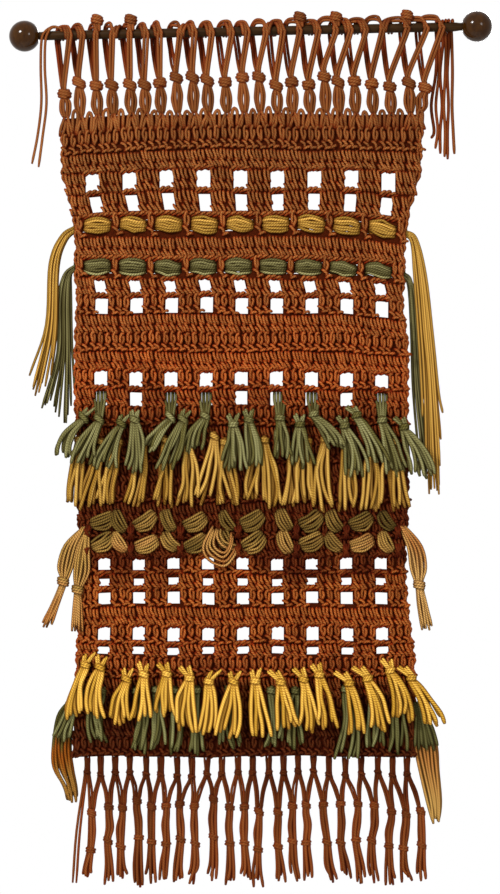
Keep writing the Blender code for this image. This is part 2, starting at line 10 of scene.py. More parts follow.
import bmesh
import bpy
import numpy as np
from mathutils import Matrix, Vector


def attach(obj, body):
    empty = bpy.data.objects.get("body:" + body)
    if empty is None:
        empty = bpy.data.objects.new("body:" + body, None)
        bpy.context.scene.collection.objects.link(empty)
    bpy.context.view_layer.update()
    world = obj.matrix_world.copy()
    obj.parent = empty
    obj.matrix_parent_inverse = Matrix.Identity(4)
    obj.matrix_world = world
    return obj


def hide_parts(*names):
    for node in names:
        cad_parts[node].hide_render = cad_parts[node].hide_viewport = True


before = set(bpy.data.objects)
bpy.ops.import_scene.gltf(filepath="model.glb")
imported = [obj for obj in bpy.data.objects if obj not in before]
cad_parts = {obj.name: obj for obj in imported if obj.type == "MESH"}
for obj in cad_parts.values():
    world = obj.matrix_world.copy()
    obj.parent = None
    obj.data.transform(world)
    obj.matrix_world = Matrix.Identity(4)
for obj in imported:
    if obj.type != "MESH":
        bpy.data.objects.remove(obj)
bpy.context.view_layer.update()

MM = 0.001
CHANCE = np.random.default_rng(11)

# Radii of the yarns, and the size of a tassel's knot.
YARN = 1.8
STITCH_YARN = 1.65
KNOT_YARN = 2.1
SLACK_YARN = 1.9
RIBBON_YARN = 1.9
TAIL_YARN = 1.5
PUFF_YARN = 1.65
FINE_YARN = 1.6
TASSEL_KNOT = (4.0, 3.0)

# The twist of a yarn: its plies, and how far one ply lies from the next along the yarn.
PLIES = 3
PLY_GAP = 2.8

# Cloth: widths of its stitches, its soft waves, and the number and half widths of its holes.
STITCH = 7.9
WIDEST_STITCH = 9.0
CHAIN_STITCH = 6.5
WAVE = 2.0
WAVE_ACROSS = 60.0
WAVE_DOWN = 800.0
HOLES = 9
PLAIN_OPENING = 7.0
RIBBON_OPENING = 15.4

# The web under the stitches: its front, thickness, top, and how far it stays inside the outline.
WEB_FRONT = -0.1
WEB = 0.8
WEB_TOP = 91.0
WEB_INSET = 1.2

# Shadows by depth: the y where each starts, the y where it is full, and its most.
IN_FRONT = (-2.2, 0.0, 1.0)
AT_BACK = (2.2, 0.0, 1.0)
IN_CHAIN = (-2.2, -0.4, 1.0)
BEHIND_ROD = (1.0, 8.0, 0.75)

# Rod and ball knobs. The rod's neck ends a little before the bottom of a knob's bore.
ROD_RISE = 5.4
ROD_RADIUS = 5.0
ROD_NECK = 4.2
BALL_CENTRE = 248.9
BALL_RADIUS = 17.0
SEAT_RADIUS = 6.5
SEAT = BALL_CENTRE - math.sqrt(BALL_RADIUS**2 - SEAT_RADIUS**2)
BORE_RADIUS = 4.7
BORE_DEPTH = 8.0
SLACK = 0.4
TURNED_SIDES = 40


def rows_of(kind, *rows):
    """A table whose rows have named columns."""
    return tuple(kind(*row) for row in rows)


# Outline of the cloth and the columns of its holes, at rising depths.
Outline = namedtuple("Outline", "down left right middle spacing")
OUTLINE = rows_of(
    Outline,
    (80, -209, 191, -11.3, 40.7), (152, -208, 187, -11.3, 40.7), (172, -202, 181, -11.3, 40.7),
    (197, -196, 173, -9.6, 39.4), (224, -193, 170, -13.4, 39.1), (270, -194, 169, -14.2, 38.5),
    (288, -191, 167, -9.6, 38.5), (340, -194, 174, -10.5, 38.7), (400, -194, 173, -10.4, 38.6),
    (520, -191, 174, -9.8, 38.2), (590, -188, 170, -9.0, 38.0), (640, -190, 174, -8.3, 38.1),
    (690, -192, 181, -8.5, 38.4), (800, -197, 181, -8.5, 38.4),
)

# Rows of the crochet: where each ends, its stitch, and where its holes are. Each starts where the
# row above it ends.
CLOTH_TOP = 105.5
ROW_TABLE = (
    (130.5, "upright"), (151.0, "leaning"), (175.5, "leaning", 152.0, 172.5, 7.5),
    (200.0, "leaning", 179.0, 197.0, 6.3), (226.5, "upright", 207.0, 219.2, RIBBON_OPENING),
    (248.5, "leaning"), (272.0, "upright", 253.8, 266.0, RIBBON_OPENING),
    (291.0, "leaning", 273.5, 288.0, 6.0), (312.0, "upright", 293.5, 310.0, 6.8),
    (332.0, "leaning"), (353.0, "upright"), (373.0, "leaning"),
    (394.0, "upright", 374.5, 390.5, 7.0), (413.0, "leaning", 397.0, 411.5, 6.5),
    (435.0, "upright"), (456.0, "leaning"), (477.0, "upright"), (498.0, "leaning"),
    (519.0, "upright"), (540.0, "leaning"), (559.0, "upright"), (578.0, "leaning"),
    (597.0, "upright", 579.5, 592.0, 6.5), (614.0, "leaning", 602.0, 609.5, 5.5),
    (634.0, "upright", 617.5, 630.0, 6.5), (654.0, "leaning"),
    (674.5, "upright", 655.5, 670.0, 6.5), (689.0, "leaning", 677.5, 685.0, 6.5),
    (711.0, "upright"), (733.0, "leaning"), (755.0, "upright"), (777.0, "leaning"),
    (798.0, "upright"),
)
Row = namedtuple("Row", "top bottom stitch hole_top hole_bottom opening", defaults=(0, 0, 0))
ROW_TOPS = (CLOTH_TOP, *(row[0] for row in ROW_TABLE))
ROWS = [Row(top, *row) for top, row in zip(ROW_TOPS, ROW_TABLE)]

# One stitch, as strands of places: across in stitch widths, y, and down in row heights.
STITCHES = {
    "leaning": (
        ((-0.36, 0.2, 0.0), (-0.4, -2.1, 0.09), (-0.31, -2.7, 0.28), (-0.1, -2.4, 0.46), (0.02, 0.2, 0.6)),
        ((0.04, 0.2, 0.02), (0.08, -2.1, 0.12), (0.18, -2.6, 0.3), (0.32, -1.8, 0.46), (0.38, 0.2, 0.56)),
        ((-0.3, 0.2, 0.46), (-0.14, -2.4, 0.57), (0.1, -3.0, 0.72), (0.32, -2.4, 0.87), (0.42, 0.2, 1.0)),
        ((-0.56, 0.2, 0.64), (-0.38, -2.2, 0.74), (-0.16, -2.6, 0.87), (-0.04, 0.2, 1.0)),
    ),
    "upright": (
        (
            (0.2, 0.2, 0.07), (0.1, -2.3, -0.02), (-0.12, -2.9, 0.03),
            (-0.2, -2.5, 0.2), (-0.12, -2.3, 0.4), (0.0, 0.2, 0.58),
        ),
        ((0.04, 0.2, 0.12), (0.2, -2.2, 0.18), (0.26, -2.5, 0.34), (0.16, -2.2, 0.5), (0.02, 0.2, 0.64)),
        ((-0.48, 0.2, 0.58), (-0.26, -2.5, 0.62), (0.04, -3.0, 0.7), (0.2, -2.4, 0.8), (0.14, 0.2, 0.88)),
        ((0.02, 0.3, 0.94), (0.2, -2.2, 0.9), (0.48, -2.8, 0.85), (0.74, -2.0, 0.84), (0.88, 0.3, 0.88)),
    ),
}
BACK_STITCH = (
    (-0.34, 0.4, 0.04), (-0.24, 2.2, 0.22), (-0.02, 2.6, 0.5), (0.22, 2.2, 0.78), (0.3, 0.4, 0.96),
)
CHAIN_DASH = ((-0.52, 0.6, 0.1), (-0.22, -1.3, 0.04), (0.16, -1.5, -0.04), (0.5, 0.4, -0.08))

# Loops that carry the cloth: the knot of each, where its yarn crosses the rod, and how high it
# stands there.
Loop = namedtuple("Loop", "knot down crossing hump")
LOOPS = rows_of(
    Loop,
    (-205, 69, -199, 4), (-189, 57, -185, 6), (-170, 60, -170, 12), (-153, 59, -152, 5),
    (-133, 59, -133, 11), (-117, 59, -115, 5), (-100, 57, -100, 5), (-82, 51, -78, 5),
    (-64, 51, -62, 4), (-48, 54, -43, 5), (-28, 56, -21, 5), (-9, 51, -4, 5), (9, 50, 16, 6),
    (28, 60, 35, 5), (45, 56, 53, 9), (64, 59, 74, 5), (81, 50, 93, 8), (96, 56, 109, 5),
    (114, 55, 126, 5), (133, 58, 144, 7), (153, 61, 171, 8), (174, 57, 192, 5), (192, 62, 209, 4),
)

# A loop that stands higher than LUMP_HUMP has a wound lump. The others have a slack turn beside
# them, except at the two sides.
LUMP_HUMP = 7
SLACK_LEFT = -200
SLACK_RIGHT = 190

# Where the loops' yarn enters the cloth: depth for the outline, and depth of the strands' ends.
HEADING_DOWN = 84
FEET_DOWN = 90

# A slack turn over the rod: share of its way sideways, y, and down from the rod's middle.
SLACK_TURN = (
    (0.10, -5.6, 5.0), (0.15, -7.2, -0.5), (0.35, -5.4, -6.0), (0.62, -0.5, -8.6),
    (0.88, 5.0, -6.4), (1.00, 7.4, 0.0), (0.95, 5.6, 5.0),
)

# The arch between the feet of two loops, and the x beyond which there is none.
HEADING_ARCH = (
    (-2.4, -0.2, 106), (-2.7, -2.6, 98), (-2.4, -3.0, 90), (0, -2.6, 86),
    (2.5, -3.0, 90), (2.7, -2.6, 98), (2.4, -0.2, 106),
)
LAST_ARCH = 180

# Tassels: where each is knotted, the left and right side of its fan, how far down it ends, and how
# far its cut ends lean.
Tassel = namedtuple("Tassel", "knot down left right end lean", defaults=(0.0,))
UPPER_GREEN = rows_of(
    Tassel,
    (-183, 425, -211, -200, 465), (-166, 427, -198, -176, 472), (-142, 432, -172, -148, 478),
    (-127, 427, -136, -120, 482), (-88, 425, -118, -106, 461), (-74, 428, -104, -82, 479),
    (-50, 424, -77, -52, 461), (-19, 433, -28, -8, 478), (-2, 428, -2, 12, 477),
    (32, 425, 24, 42, 466), (54, 432, 48, 68, 477), (69, 421, 84, 102, 458),
    (103, 434, 106, 126, 486), (116, 423, 132, 150, 472), (144, 429, 152, 168, 485),
    (168, 436, 174, 202, 487),
)
UPPER_YELLOW = rows_of(
    Tassel,
    (-188, 450, -204, -188, 522), (-163, 452, -185, -170, 524), (-146, 450, -166, -150, 521),
    (-118, 451, -138, -118, 522), (-94, 450, -107, -86, 519), (-70, 450, -80, -64, 518),
    (-40, 446, -61, -38, 516), (-28, 452, -29, -12, 516), (7, 452, -7, 10, 514),
    (15, 450, 15, 30, 524), (44, 455, 37, 50, 521), (62, 451, 54, 70, 519), (82, 450, 75, 90, 524),
    (106, 450, 97, 115, 524), (131, 452, 121, 142, 524), (158, 452, 149, 172, 524),
)
LOWER_YELLOW = rows_of(
    Tassel,
    (-181, 697, -202, -184, 751), (-165, 699, -178, -160, 752), (-136, 711, -156, -134, 759),
    (-117, 706, -130, -112, 752, -0.1), (-92, 705, -102, -84, 751, -0.6),
    (-67, 710, -78, -60, 765, -0.6), (-46, 716, -56, -41, 768, 0.6), (-19, 715, -36, -13, 771),
    (5, 714, -1, 18, 771), (33, 715, 28, 50, 765, -0.7), (58, 711, 55, 71, 768, -0.5),
    (75, 706, 76, 92, 762, -0.1), (108, 717, 107, 126, 770, -0.7), (128, 711, 132, 150, 764, -0.6),
    (153, 703, 158, 175, 755), (176, 711, 193, 209, 758, -0.3),
)
LOWER_GREEN = rows_of(
    Tassel,
    (-187, 725, -216, -196, 779), (-164, 725, -176, -158, 780), (-125, 725, -130, -118, 791),
    (-104, 725, -109, -97, 787), (-84, 725, -90, -76, 791), (-60, 725, -67, -54, 791),
    (-23, 725, -34, -12, 785), (23, 725, 16, 31, 782), (49, 725, 40, 58, 788),
    (105, 725, 95, 116, 797), (135, 725, 128, 143, 785), (160, 725, 152, 170, 791),
)

# Fan of a tassel: strands, their radius, how far it widens, how much they stray, and its shadow.
Fan = namedtuple("Fan", "count radius widening swing shade")

# Along a tassel's fan: share of its length, share of its way sideways, and depth behind its layer.
FAN_PARTS = ((0.0, 0.0, 1.2), (0.16, 0.25, -1.0), (0.42, 0.58, -0.9), (0.74, 0.86, 0.0), (1.0, 1.0, 0.5))

# Posts of the variegated band, and the depths where the brown stitches hold each of them.
POSTS = (-180, -132, -77, -14, 50, 105, 162)
POST_ROWS = (544, 564)

# Rows of puffs: depth and tone. A pair of puffs leans to each post: place, length, width, slope.
# None lies beyond the band's left and right.
PUFF_ROWS = ((538.5, 0.10), (561.5, 0.38))
PUFF_PAIR = ((-12.0, 25, 15.5, 1.0), (16.5, 27, 20, -0.5))
PUFF_LEFT = -176
PUFF_RIGHT = 168

# Along a puff: part of its length, share of its width, and y.
PUFF_PARTS = (
    (-0.5, 0.55, 3.6), (-0.42, 0.8, 0.4), (0.0, 1.0, -2.2), (0.42, 0.8, 0.2), (0.5, 0.55, 3.6),
)

# Slack loops below the middle of the band, as places of x, y and down.
BIG_LOOPS = (
    ((-42, -5, 545), (-52.4, -8, 566), (-46, -9.5, 581), (-29, -10, 588), (-18.5, -9, 579),
     (-15.5, -6, 571)),
    ((-41, -5, 548), (-48.6, -8.8, 566), (-43, -10.4, 577), (-29.5, -11, 584), (-20.5, -9.5, 576),
     (-16.5, -6, 568)),
    ((-40, -5.5, 549), (-44.8, -9, 565), (-39.5, -10.2, 574), (-30.5, -11, 579), (-22, -10, 570),
     (-20, -6, 556)),
    ((-38, -6, 548), (-41, -9.8, 563), (-36.5, -11.4, 571), (-28.5, -12, 574), (-22.5, -10, 565),
     (-21, -6, 552)),
    ((-36, -5, 548), (-36.5, -8.6, 558), (-30, -9.6, 567), (-17, -6.5, 571)),
    ((-33, -5, 548), (-33, -8.2, 556), (-27, -9.2, 563), (-16, -6.5, 566)),
)

# Loose tassels beside the band: places of x, y and down, half widths there, and tone.
SIDE_TASSELS = (
    (
        (
            (-183, -5, 546), (-197, -5.5, 566), (-203, -5, 588),
            (-206, -4.5, 605), (-214, -4, 628), (-224, -4, 654),
        ),
        (2, 7, 7.5, 3, 3.5, 5.5), 0.60,
    ),
    (
        (
            (-181, -5, 549), (-184, -7, 572), (-186, -6.5, 594),
            (-190, -5, 613), (-190, -5, 632), (-191, -5, 656),
        ),
        (2, 6, 8, 3.4, 4.2, 5.5), 0.56,
    ),
    (
        (
            (166, -5, 546), (180, -5.5, 568), (184, -5.5, 590),
            (185, -5, 608), (188, -5, 630), (193, -5, 656),
        ),
        (2.5, 7.5, 7.5, 3.2, 4.5, 5.5), 0.96,
    ),
)
SIDE_STRANDS = 9

# Green tassels whose yarn comes out of a hole of the openwork.
HOLE_NECKS = (-166, -88, -50, 32, 69, 144)

# Knotted fringe: depths of the hem, of the net's upper knots and of the ends, where the yarn leaves
# the cloth, and each string's knot, lump and end.
HEM_DOWN = 797
NET_DOWN = 814
FRINGE_END = 933
FRINGE_STARTS = (
    -180, -165, -149, -133, -115, -99, -81, -65, -48, -32, -14,
    2, 20, 36, 52, 69, 86, 104, 122, 140, 156, 172,
)
Knot = namedtuple("Knot", "knot down lump end")
FRINGE_KNOTS = rows_of(
    Knot,
    (-175, 860, -176, -181), (-156, 853, -157, -155), (-141, 854, -143, -141),
    (-125, 846, -123, -123), (-109, 852, -109, -110), (-93, 851, -93, -96), (-78, 850, -77, -80),
    (-62, 853, -61, -65), (-41, 845, -41, -44), (-23, 854, -23, -24), (-7, 854, -7, -6),
    (9, 859, 8, 8), (30, 859, 30, 32), (46, 852, 46, 50), (61, 851, 61, 63), (80, 851, 84, 90),
    (99, 850, 99, 106), (118, 850, 116, 121), (136, 853, 133, 136), (155, 860, 152, 154),
    (171, 862, 168, 172), (187, 858, 188, 188),
)

# Ribbon tails: knees as x, y, depth, spread sideways and in depth, tips from the outermost in, the
# lowest and highest shade of the strands, and their number.
Tail = namedtuple("Tail", "knees tips shades count")
YELLOW_TAILS = (
    Tail(
        ((-192, 5, 213.5, 0, 5), (-205, 4, 225, 5, 3), (-216, 3, 257, 9, 0), (-219, 3, 325, 11, 0)),
        ((-243, 380), (-237, 400), (-229, 390), (-217, 366)),
        (0.05, 0.6), 9,
    ),
    Tail(
        (
            (169, 5, 213.5, 0, 5), (180, 4, 223, -6, 3), (187, 3, 262, -12, 0),
            (193, 2.5, 325, -15, 0), (198, 3, 395, -17, 0),
        ),
        ((211, 420), (208, 505), (202, 509), (196, 506), (190, 424)),
        (0.3, 0.95), 13,
    ),
)
GREEN_TAILS = (
    Tail(
        ((-193, 5, 260, 0, 5), (-202, 8, 269, 7, 3), (-206, 10, 296, 13, 0), (-206, 10, 350, 14, 0)),
        ((-230, 411), (-219, 408), (-206, 431), (-196, 405)),
        (0.05, 0.7), 12,
    ),
    Tail(
        ((168, 5, 260, 0, 5), (176, 8, 271, -4, 3), (181, 10, 320, -8, 0), (185, 10, 395, -10, 0)),
        ((204, 478), (196, 486), (187, 482)),
        (0.1, 0.65), 9,
    ),
)

# Side tails: places of x, depth and half the width. Green strands lie on the right one.
LEFT_TAIL_KNEES = (
    (-198, 737, 4), (-205, 754, 8), (-209, 787, 9.5), (-206, 812, 10), (-199, 832, 6.5), (-197, 845, 5),
)
RIGHT_TAIL_KNEES = (
    (182, 742, 4), (189, 760, 8), (193.5, 787, 11), (196.5, 813, 9.5), (202, 845, 6.5), (204, 866, 3.5),
)
RIGHT_TAIL_FAN = ((182.5, 738, 3), (187.5, 753, 6), (191, 769, 9), (193.5, 789, 12))

# A tone so low that the colour bands of the tail reach their green end.
TAIL_FAN_TONE = -1.6

# Loose cords on the right: where each lies on the rod, and its tip. Then the shadow on each.
RIGHT_CORDS = (
    (204, 199, 116), (207.5, 204, 128), (211, 209, 134),
    (214.5, 214, 137), (218, 218, 139), (221.5, 224.5, 134),
)
RIGHT_CORD_SHADOWS = (0.6, 0.45, 0.65, 0.4, 0.6, 0.25)

# Plain cottons: dark and light end of the tones, the multiplier of their painted shade between the
# plies, on the sides and in painted shadow and, for some, how fast the painted shade on the sides grows.
PLAIN_COTTONS = (
    ("old_gold", (0.170, 0.092, 0.008), (0.720, 0.425, 0.088), (0.22, 0.11, 0.02), 3.2),
    ("moss", (0.044, 0.035, 0.006), (0.305, 0.280, 0.118), (0.14, 0.09, 0.02), 3.2),
    ("yellow", (0.270, 0.138, 0.014), (0.620, 0.385, 0.085), (0.19, 0.09, 0.015)),
    ("golden", (0.470, 0.250, 0.020), (0.930, 0.560, 0.098), (0.20, 0.11, 0.015)),
    ("green", (0.088, 0.074, 0.014), (0.260, 0.245, 0.105), (0.14, 0.10, 0.02)),
    ("pale_green", (0.090, 0.080, 0.020), (0.245, 0.240, 0.100), (0.16, 0.12, 0.02)),
)

# Brown cotton by depth: its colour, and the multiplier that paints the tassels' shadow on its worked face.
BROWN_HUES = (
    (0.00, (0.160, 0.056, 0.012)), (0.09, (0.170, 0.062, 0.013)), (0.14, (0.205, 0.083, 0.018)),
    (0.30, (0.240, 0.086, 0.017)), (0.40, (0.295, 0.088, 0.015)), (0.64, (0.285, 0.094, 0.015)),
    (0.74, (0.265, 0.080, 0.014)), (0.92, (0.170, 0.053, 0.010)),
)
BROWN_TASSEL_SHADOW = (
    (0.400, (1.00, 1.00, 1.00)), (0.475, (0.33, 0.26, 0.27)), (0.545, (0.26, 0.20, 0.20)),
    (0.605, (0.29, 0.20, 0.20)), (0.640, (1.00, 1.00, 1.00)), (0.740, (1.00, 1.00, 1.00)),
    (0.790, (0.25, 0.21, 0.22)), (0.860, (0.37, 0.31, 0.26)), (0.920, (1.00, 1.00, 1.00)),
)

# Colours of the variegated cotton, and of the two side tails by depth in metres.
MIXED_HUES = (
    (0.05, (0.105, 0.066, 0.013)), (0.30, (0.205, 0.125, 0.026)), (0.52, (0.430, 0.248, 0.058)),
    (0.70, (0.510, 0.265, 0.072)), (0.84, (0.440, 0.168, 0.038)), (1.00, (0.570, 0.320, 0.095)),
)
LEFT_TAIL_BANDS = (
    (0.770, (0.085, 0.074, 0.016)), (0.782, (0.135, 0.088, 0.016)), (0.790, (0.300, 0.078, 0.007)),
    (0.806, (0.280, 0.082, 0.007)), (0.822, (0.300, 0.140, 0.024)),
)
RIGHT_TAIL_BANDS = (
    (0.756, (0.110, 0.104, 0.034)), (0.768, (0.330, 0.145, 0.032)),
    (0.800, (0.450, 0.190, 0.045)), (0.850, (0.520, 0.300, 0.080)),
)
# The multiplier of the tails' painted shade between the plies, on the sides and in shadow.
TAIL_SHADE_TINT = (0.14, 0.09, 0.02)

# Dark and light grain of the two woods.
ROD_STAIN = ((0.008, 0.0034, 0.0008), (0.028, 0.012, 0.0028))
BALL_STAIN = ((0.011, 0.0034, 0.0003), (0.032, 0.0112, 0.0009))

# Where the lights aim, in metres.
HANGING_MIDDLE = (0, 0, -0.45)


# Measures of the cloth.
def share(value, start, end):
    """How far value has got from start to end, held between 0 and 1."""
    return np.clip((value - start) / (end - start), 0.0, 1.0)


def outline_at(down):
    """The row of the outline table at one depth."""
    depths, *columns = zip(*OUTLINE)
    return Outline(down, *(np.interp(down, depths, column) for column in columns))


def hole_centres(down):
    """Middles of the openings of a row."""
    row = outline_at(down)
    return [row.middle + (i - HOLES // 2) * row.spacing for i in range(HOLES)]


def rod_down(x):
    """Depth of the rod's middle line, which rises to the right."""
    return -ROD_RISE * x / BALL_CENTRE


def sag(x, down):
    """How far the rows droop towards the two sides of the cloth."""
    left = 17 * (1 - share(down, 0, 250)) * share(-x, 60, 200) ** 2
    right = 8 * share(down, 60, 230) * (1 - share(down, 320, 430)) * share(x, 60, 170) ** 2
    return (left + right) * share(down, 75, 105)


def draped(paths):
    """Lays flat work on the cloth's soft waves and uneven rows, drooping at the sides."""
    paths = np.array(paths, float)
    x, y, down = paths[..., 0], paths[..., 1], paths[..., 2]
    wobble = 0.7 * np.sin(x / 29 + down / 23) + 0.4 * np.sin(x / 11 - down / 31)
    y = y + WAVE * down / WAVE_DOWN * np.sin(x / WAVE_ACROSS)
    return np.stack([x, y, down + sag(x, down) + wobble], axis=-1)


# Chance. Every draw is from one row of numbers, so the order of the builds matters.
def jitter(shape, size):
    """Small even-handed differences."""
    return (CHANCE.random(shape) - 0.5) * 2 * size


def nudge(size):
    """One small difference."""
    return jitter(1, size)[0]


def strand_shifts(count, places, size):
    """A drift for each strand that grows from place to place."""
    grown = np.linspace(0.2, 1, places)[None, :, None]
    return jitter((count, 1, 3), 1.0) * grown * np.array(size)


# Paths.
def columns_of(table):
    """The columns of a table of numbers."""
    return (np.array(column) for column in zip(*table))


def placed(x, y, down):
    """Places made from their three parts, each a number or an array."""
    return np.stack(np.broadcast_arrays(x, y, down), axis=-1)


def every_second(count):
    """1 for the strands that lie behind their neighbours and 0 for the rest, as a column."""
    return np.arange(count)[:, None] % 2


def unit(vectors):
    """The vectors brought to length 1."""
    return vectors / np.maximum(np.linalg.norm(vectors, axis=-1, keepdims=True), 1e-9)


def smooth(controls, per=3):
    """Places on a smooth curve through the controls, with per steps between two of them."""
    controls = np.array(controls, float)
    if controls.ndim == 2:
        controls = controls[None]
    before = 2 * controls[:, :1] - controls[:, 1:2]
    after = 2 * controls[:, -1:] - controls[:, -2:-1]
    held = np.concatenate([before, controls, after], axis=1)
    places = []
    for i in range(controls.shape[1] - 1):
        a, b, c, d = (held[:, i + j] for j in range(4))
        for step in range(per):
            t = step / per
            bent = 2 * b + (c - a) * t + (2 * a - 5 * b + 4 * c - d) * t**2
            places.append((bent + (3 * b - a - 3 * c + d) * t**3) / 2)
    places.append(controls[:, -1])
    return np.stack(places, axis=1)


def coil(centre, size, rise, turns, start=0.0, per_turn=9, swell=0.16):
    """A yarn wound round an upright bundle, from rise above its centre to rise below."""
    x, y, down = centre
    steps = int(turns * per_turn) + 1
    turn = start + 2 * math.pi * turns * np.arange(steps) / (steps - 1)
    part = np.linspace(-1, 1, steps)
    wide = 1 + swell * (0.5 - part**2)
    depth = down + rise * part + 0.7 * np.sin(turn + 0.8)
    return placed(x + size[0] * wide * np.cos(turn), y + size[1] * wide * np.sin(turn), depth)[None]


def frames_along(centres):
    """Two directions across each path, carried along it without twisting."""
    ahead = unit(np.gradient(centres, axis=1))
    across = np.empty_like(ahead)
    first = np.cross(ahead[:, 0], (0.0, 1.0, 0.0))
    flat = np.linalg.norm(first, axis=1) < 0.2
    first[flat] = np.cross(ahead[flat, 0], (1.0, 0.0, 0.0))
    across[:, 0] = unit(first)
    for i in range(1, centres.shape[1]):
        held = across[:, i - 1]
        along = (held * ahead[:, i]).sum(axis=1, keepdims=True)
        across[:, i] = unit(held - along * ahead[:, i])
    return across, np.cross(ahead, across)


class Yarns:
    """Strands of yarn gathered as closed tubes and made into one mesh."""

    def __init__(self):
        self.places, self.tones, self.opens = [], [], []
        self.quads, self.quad_wraps = [], []
        self.caps, self.cap_wraps = [], []
        self.count = 0

    def lay(self, places, shake=0.0, per=3, radius=YARN, sides=6, sunk=0.0, tone=None, flat=True):
        """Adds smooth strands through the places, each place shaken a little.

        sunk is a shadow from 0 to 1, or the depths y where a shadow starts and is full, and its most.
        Strands that are flat lie on the cloth's waves, and the others hang free.
        """
        places = np.array(places, float)
        if shake:
            places = places + jitter(places.shape, shake)
        places = smooth(places, per)
        if isinstance(sunk, tuple):
            sunk = np.minimum(share(places[..., 1], sunk[0], sunk[1]), sunk[2])
        self.add(draped(places) if flat else places, radius, sides, sunk, tone)

    def add(self, paths, radius=YARN, sides=6, sunk=0.0, tone=None):
        """Adds one tube along each path. paths are strands by places by x, y and down.

        sunk tells how far each place lies in the shadow of its neighbours, from 0 to 1.
        tone is the shade that the strands share, or nothing when each has its own.
        """
        centres = np.array(paths, float) * (1, 1, -1)
        strands, steps = centres.shape[:2]
        across, through = frames_along(centres)
        turns = 2 * math.pi * np.arange(sides)[:, None] / sides
        thick = np.full((strands, steps), float(radius))
        thick[:, [0, -1]] *= 0.7
        around = across[:, :, None] * np.cos(turns) + through[:, :, None] * np.sin(turns)
        rings = centres[:, :, None] + thick[:, :, None, None] * around
        ends = unit(centres[:, [0, -1]] - centres[:, [1, -2]]) * thick[:, [0, -1], None] * 0.4
        ends += centres[:, [0, -1]]
        tube = np.concatenate([rings.reshape(strands, -1, 3), ends], axis=1)
        self.places.append(tube.reshape(-1, 3))
        self.index(strands, steps, sides)
        self.wrap(centres, sides)
        tones = CHANCE.random(strands) if tone is None else tone + jitter(strands, 0.08)
        self.tones.append(np.repeat(tones, steps * sides + 2))
        sunk = np.broadcast_to(np.asarray(sunk, float), (strands, steps))
        shadow = np.concatenate([np.repeat(sunk, sides, axis=1), sunk[:, [0, -1]]], axis=1)
        self.opens.append(1 - shadow.reshape(-1))

    def index(self, strands, steps, sides):
        """Corner numbers of the side faces and the end faces."""
        size = steps * sides + 2
        rings = np.arange(steps * sides).reshape(steps, sides)
        after = np.roll(rings, -1, axis=1)
        quads = np.stack([rings[:-1], after[:-1], after[1:], rings[1:]], axis=-1)
        tips = np.full((2, sides), [[size - 2], [size - 1]])
        caps = np.stack([tips, [after[0], rings[-1]], [rings[0], after[-1]]], axis=-1)
        base = self.count + size * np.arange(strands)[:, None, None, None]
        self.quads.append((base + quads).reshape(-1, 4))
        self.caps.append((base + caps).reshape(-1, 3))
        self.count += size * strands

    def wrap(self, centres, sides):
        """Texture places: millimetres along the yarn and turns round it."""
        lengths = np.linalg.norm(np.diff(centres, axis=1), axis=-1)
        along = np.concatenate([np.zeros((len(centres), 1)), np.cumsum(lengths, axis=1)], axis=1)
        near = np.repeat(along[:, :-1, None], sides, axis=2)
        far = np.repeat(along[:, 1:, None], sides, axis=2)
        around = np.broadcast_to(np.arange(sides) / sides, near.shape)
        beyond = around + 1 / sides
        corners = [(near, around), (near, beyond), (far, beyond), (far, around)]
        corners = np.stack([np.stack(corner, axis=-1) for corner in corners], axis=-2)
        self.quad_wraps.append(corners.reshape(-1, 2))
        ends = np.repeat(along[:, [0, -1]].reshape(-1), sides * 3)
        self.cap_wraps.append(np.stack([ends, np.full(len(ends), 0.5)], axis=-1))

    def mesh(self, name):
        """One mesh of everything gathered, smooth, with its wrap, tones and painted shadow."""
        quads, caps = np.concatenate(self.quads), np.concatenate(self.caps)
        corners = np.concatenate([quads.reshape(-1), caps.reshape(-1)])
        starts = np.concatenate([np.arange(len(quads)) * 4, quads.size + np.arange(len(caps)) * 3])
        made = bpy.data.meshes.new(name)
        made.vertices.add(self.count)
        made.loops.add(len(corners))
        made.polygons.add(len(starts))
        made.vertices.foreach_set("co", (np.concatenate(self.places) * MM).reshape(-1))
        made.loops.foreach_set("vertex_index", corners.astype(np.int32))
        made.polygons.foreach_set("loop_start", starts.astype(np.int32))
        made.update(calc_edges=True)
        made.polygons.foreach_set("use_smooth", np.ones(len(starts), bool))
        wraps = np.concatenate(self.quad_wraps + self.cap_wraps)
        made.uv_layers.new(name="wrap").data.foreach_set("uv", wraps.reshape(-1))
        for label, values in (("tone", self.tones), ("open", self.opens)):
            layer = made.attributes.new(label, "FLOAT", "POINT")
            layer.data.foreach_set("value", np.concatenate(values))
        return made

    def shown(self, name, look, slot, *nodes):
        """The piece of everything gathered."""
        return shown(name, self.mesh(name), look, nodes)


def linked(name, data):
    """An object of the scene."""
    made = bpy.data.objects.new(name, data)
    bpy.context.scene.collection.objects.link(made)
    return made


def shown(name, mesh, look, nodes=()):
    """A piece of the hanging that rides on its one body."""
    mesh.materials.append(look)
    piece = linked(name, mesh)
    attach(piece, "root")
    if nodes:
        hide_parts(*nodes)
    return piece


# Crochet stitches.
def stops_across(edge, inset, down, opening):
    """Places of x across the cloth: its left side, both sides of each opening, and its right side."""
    stops = [edge.left + inset]
    for centre in hole_centres(down):
        stops += [centre - opening, centre + opening]
    return stops + [edge.right - inset]


def stitch_places(row):
    """Middle and width of every stitch of a row."""
    middle = (row.top + row.bottom) / 2
    edge = outline_at(middle)
    stops = [edge.left + 1, edge.right - 1]
    if row.opening:
        stops = stops_across(edge, 1, middle, row.opening)
    middles, widths = [], []
    for start, end in zip(stops[::2], stops[1::2]):
        count = max(1, round((end - start) / STITCH))
        width = (end - start) / count
        middles += [start + width * (i + 0.5) for i in range(count)]
        widths += [width] * count
    return np.array(middles), np.array(widths)


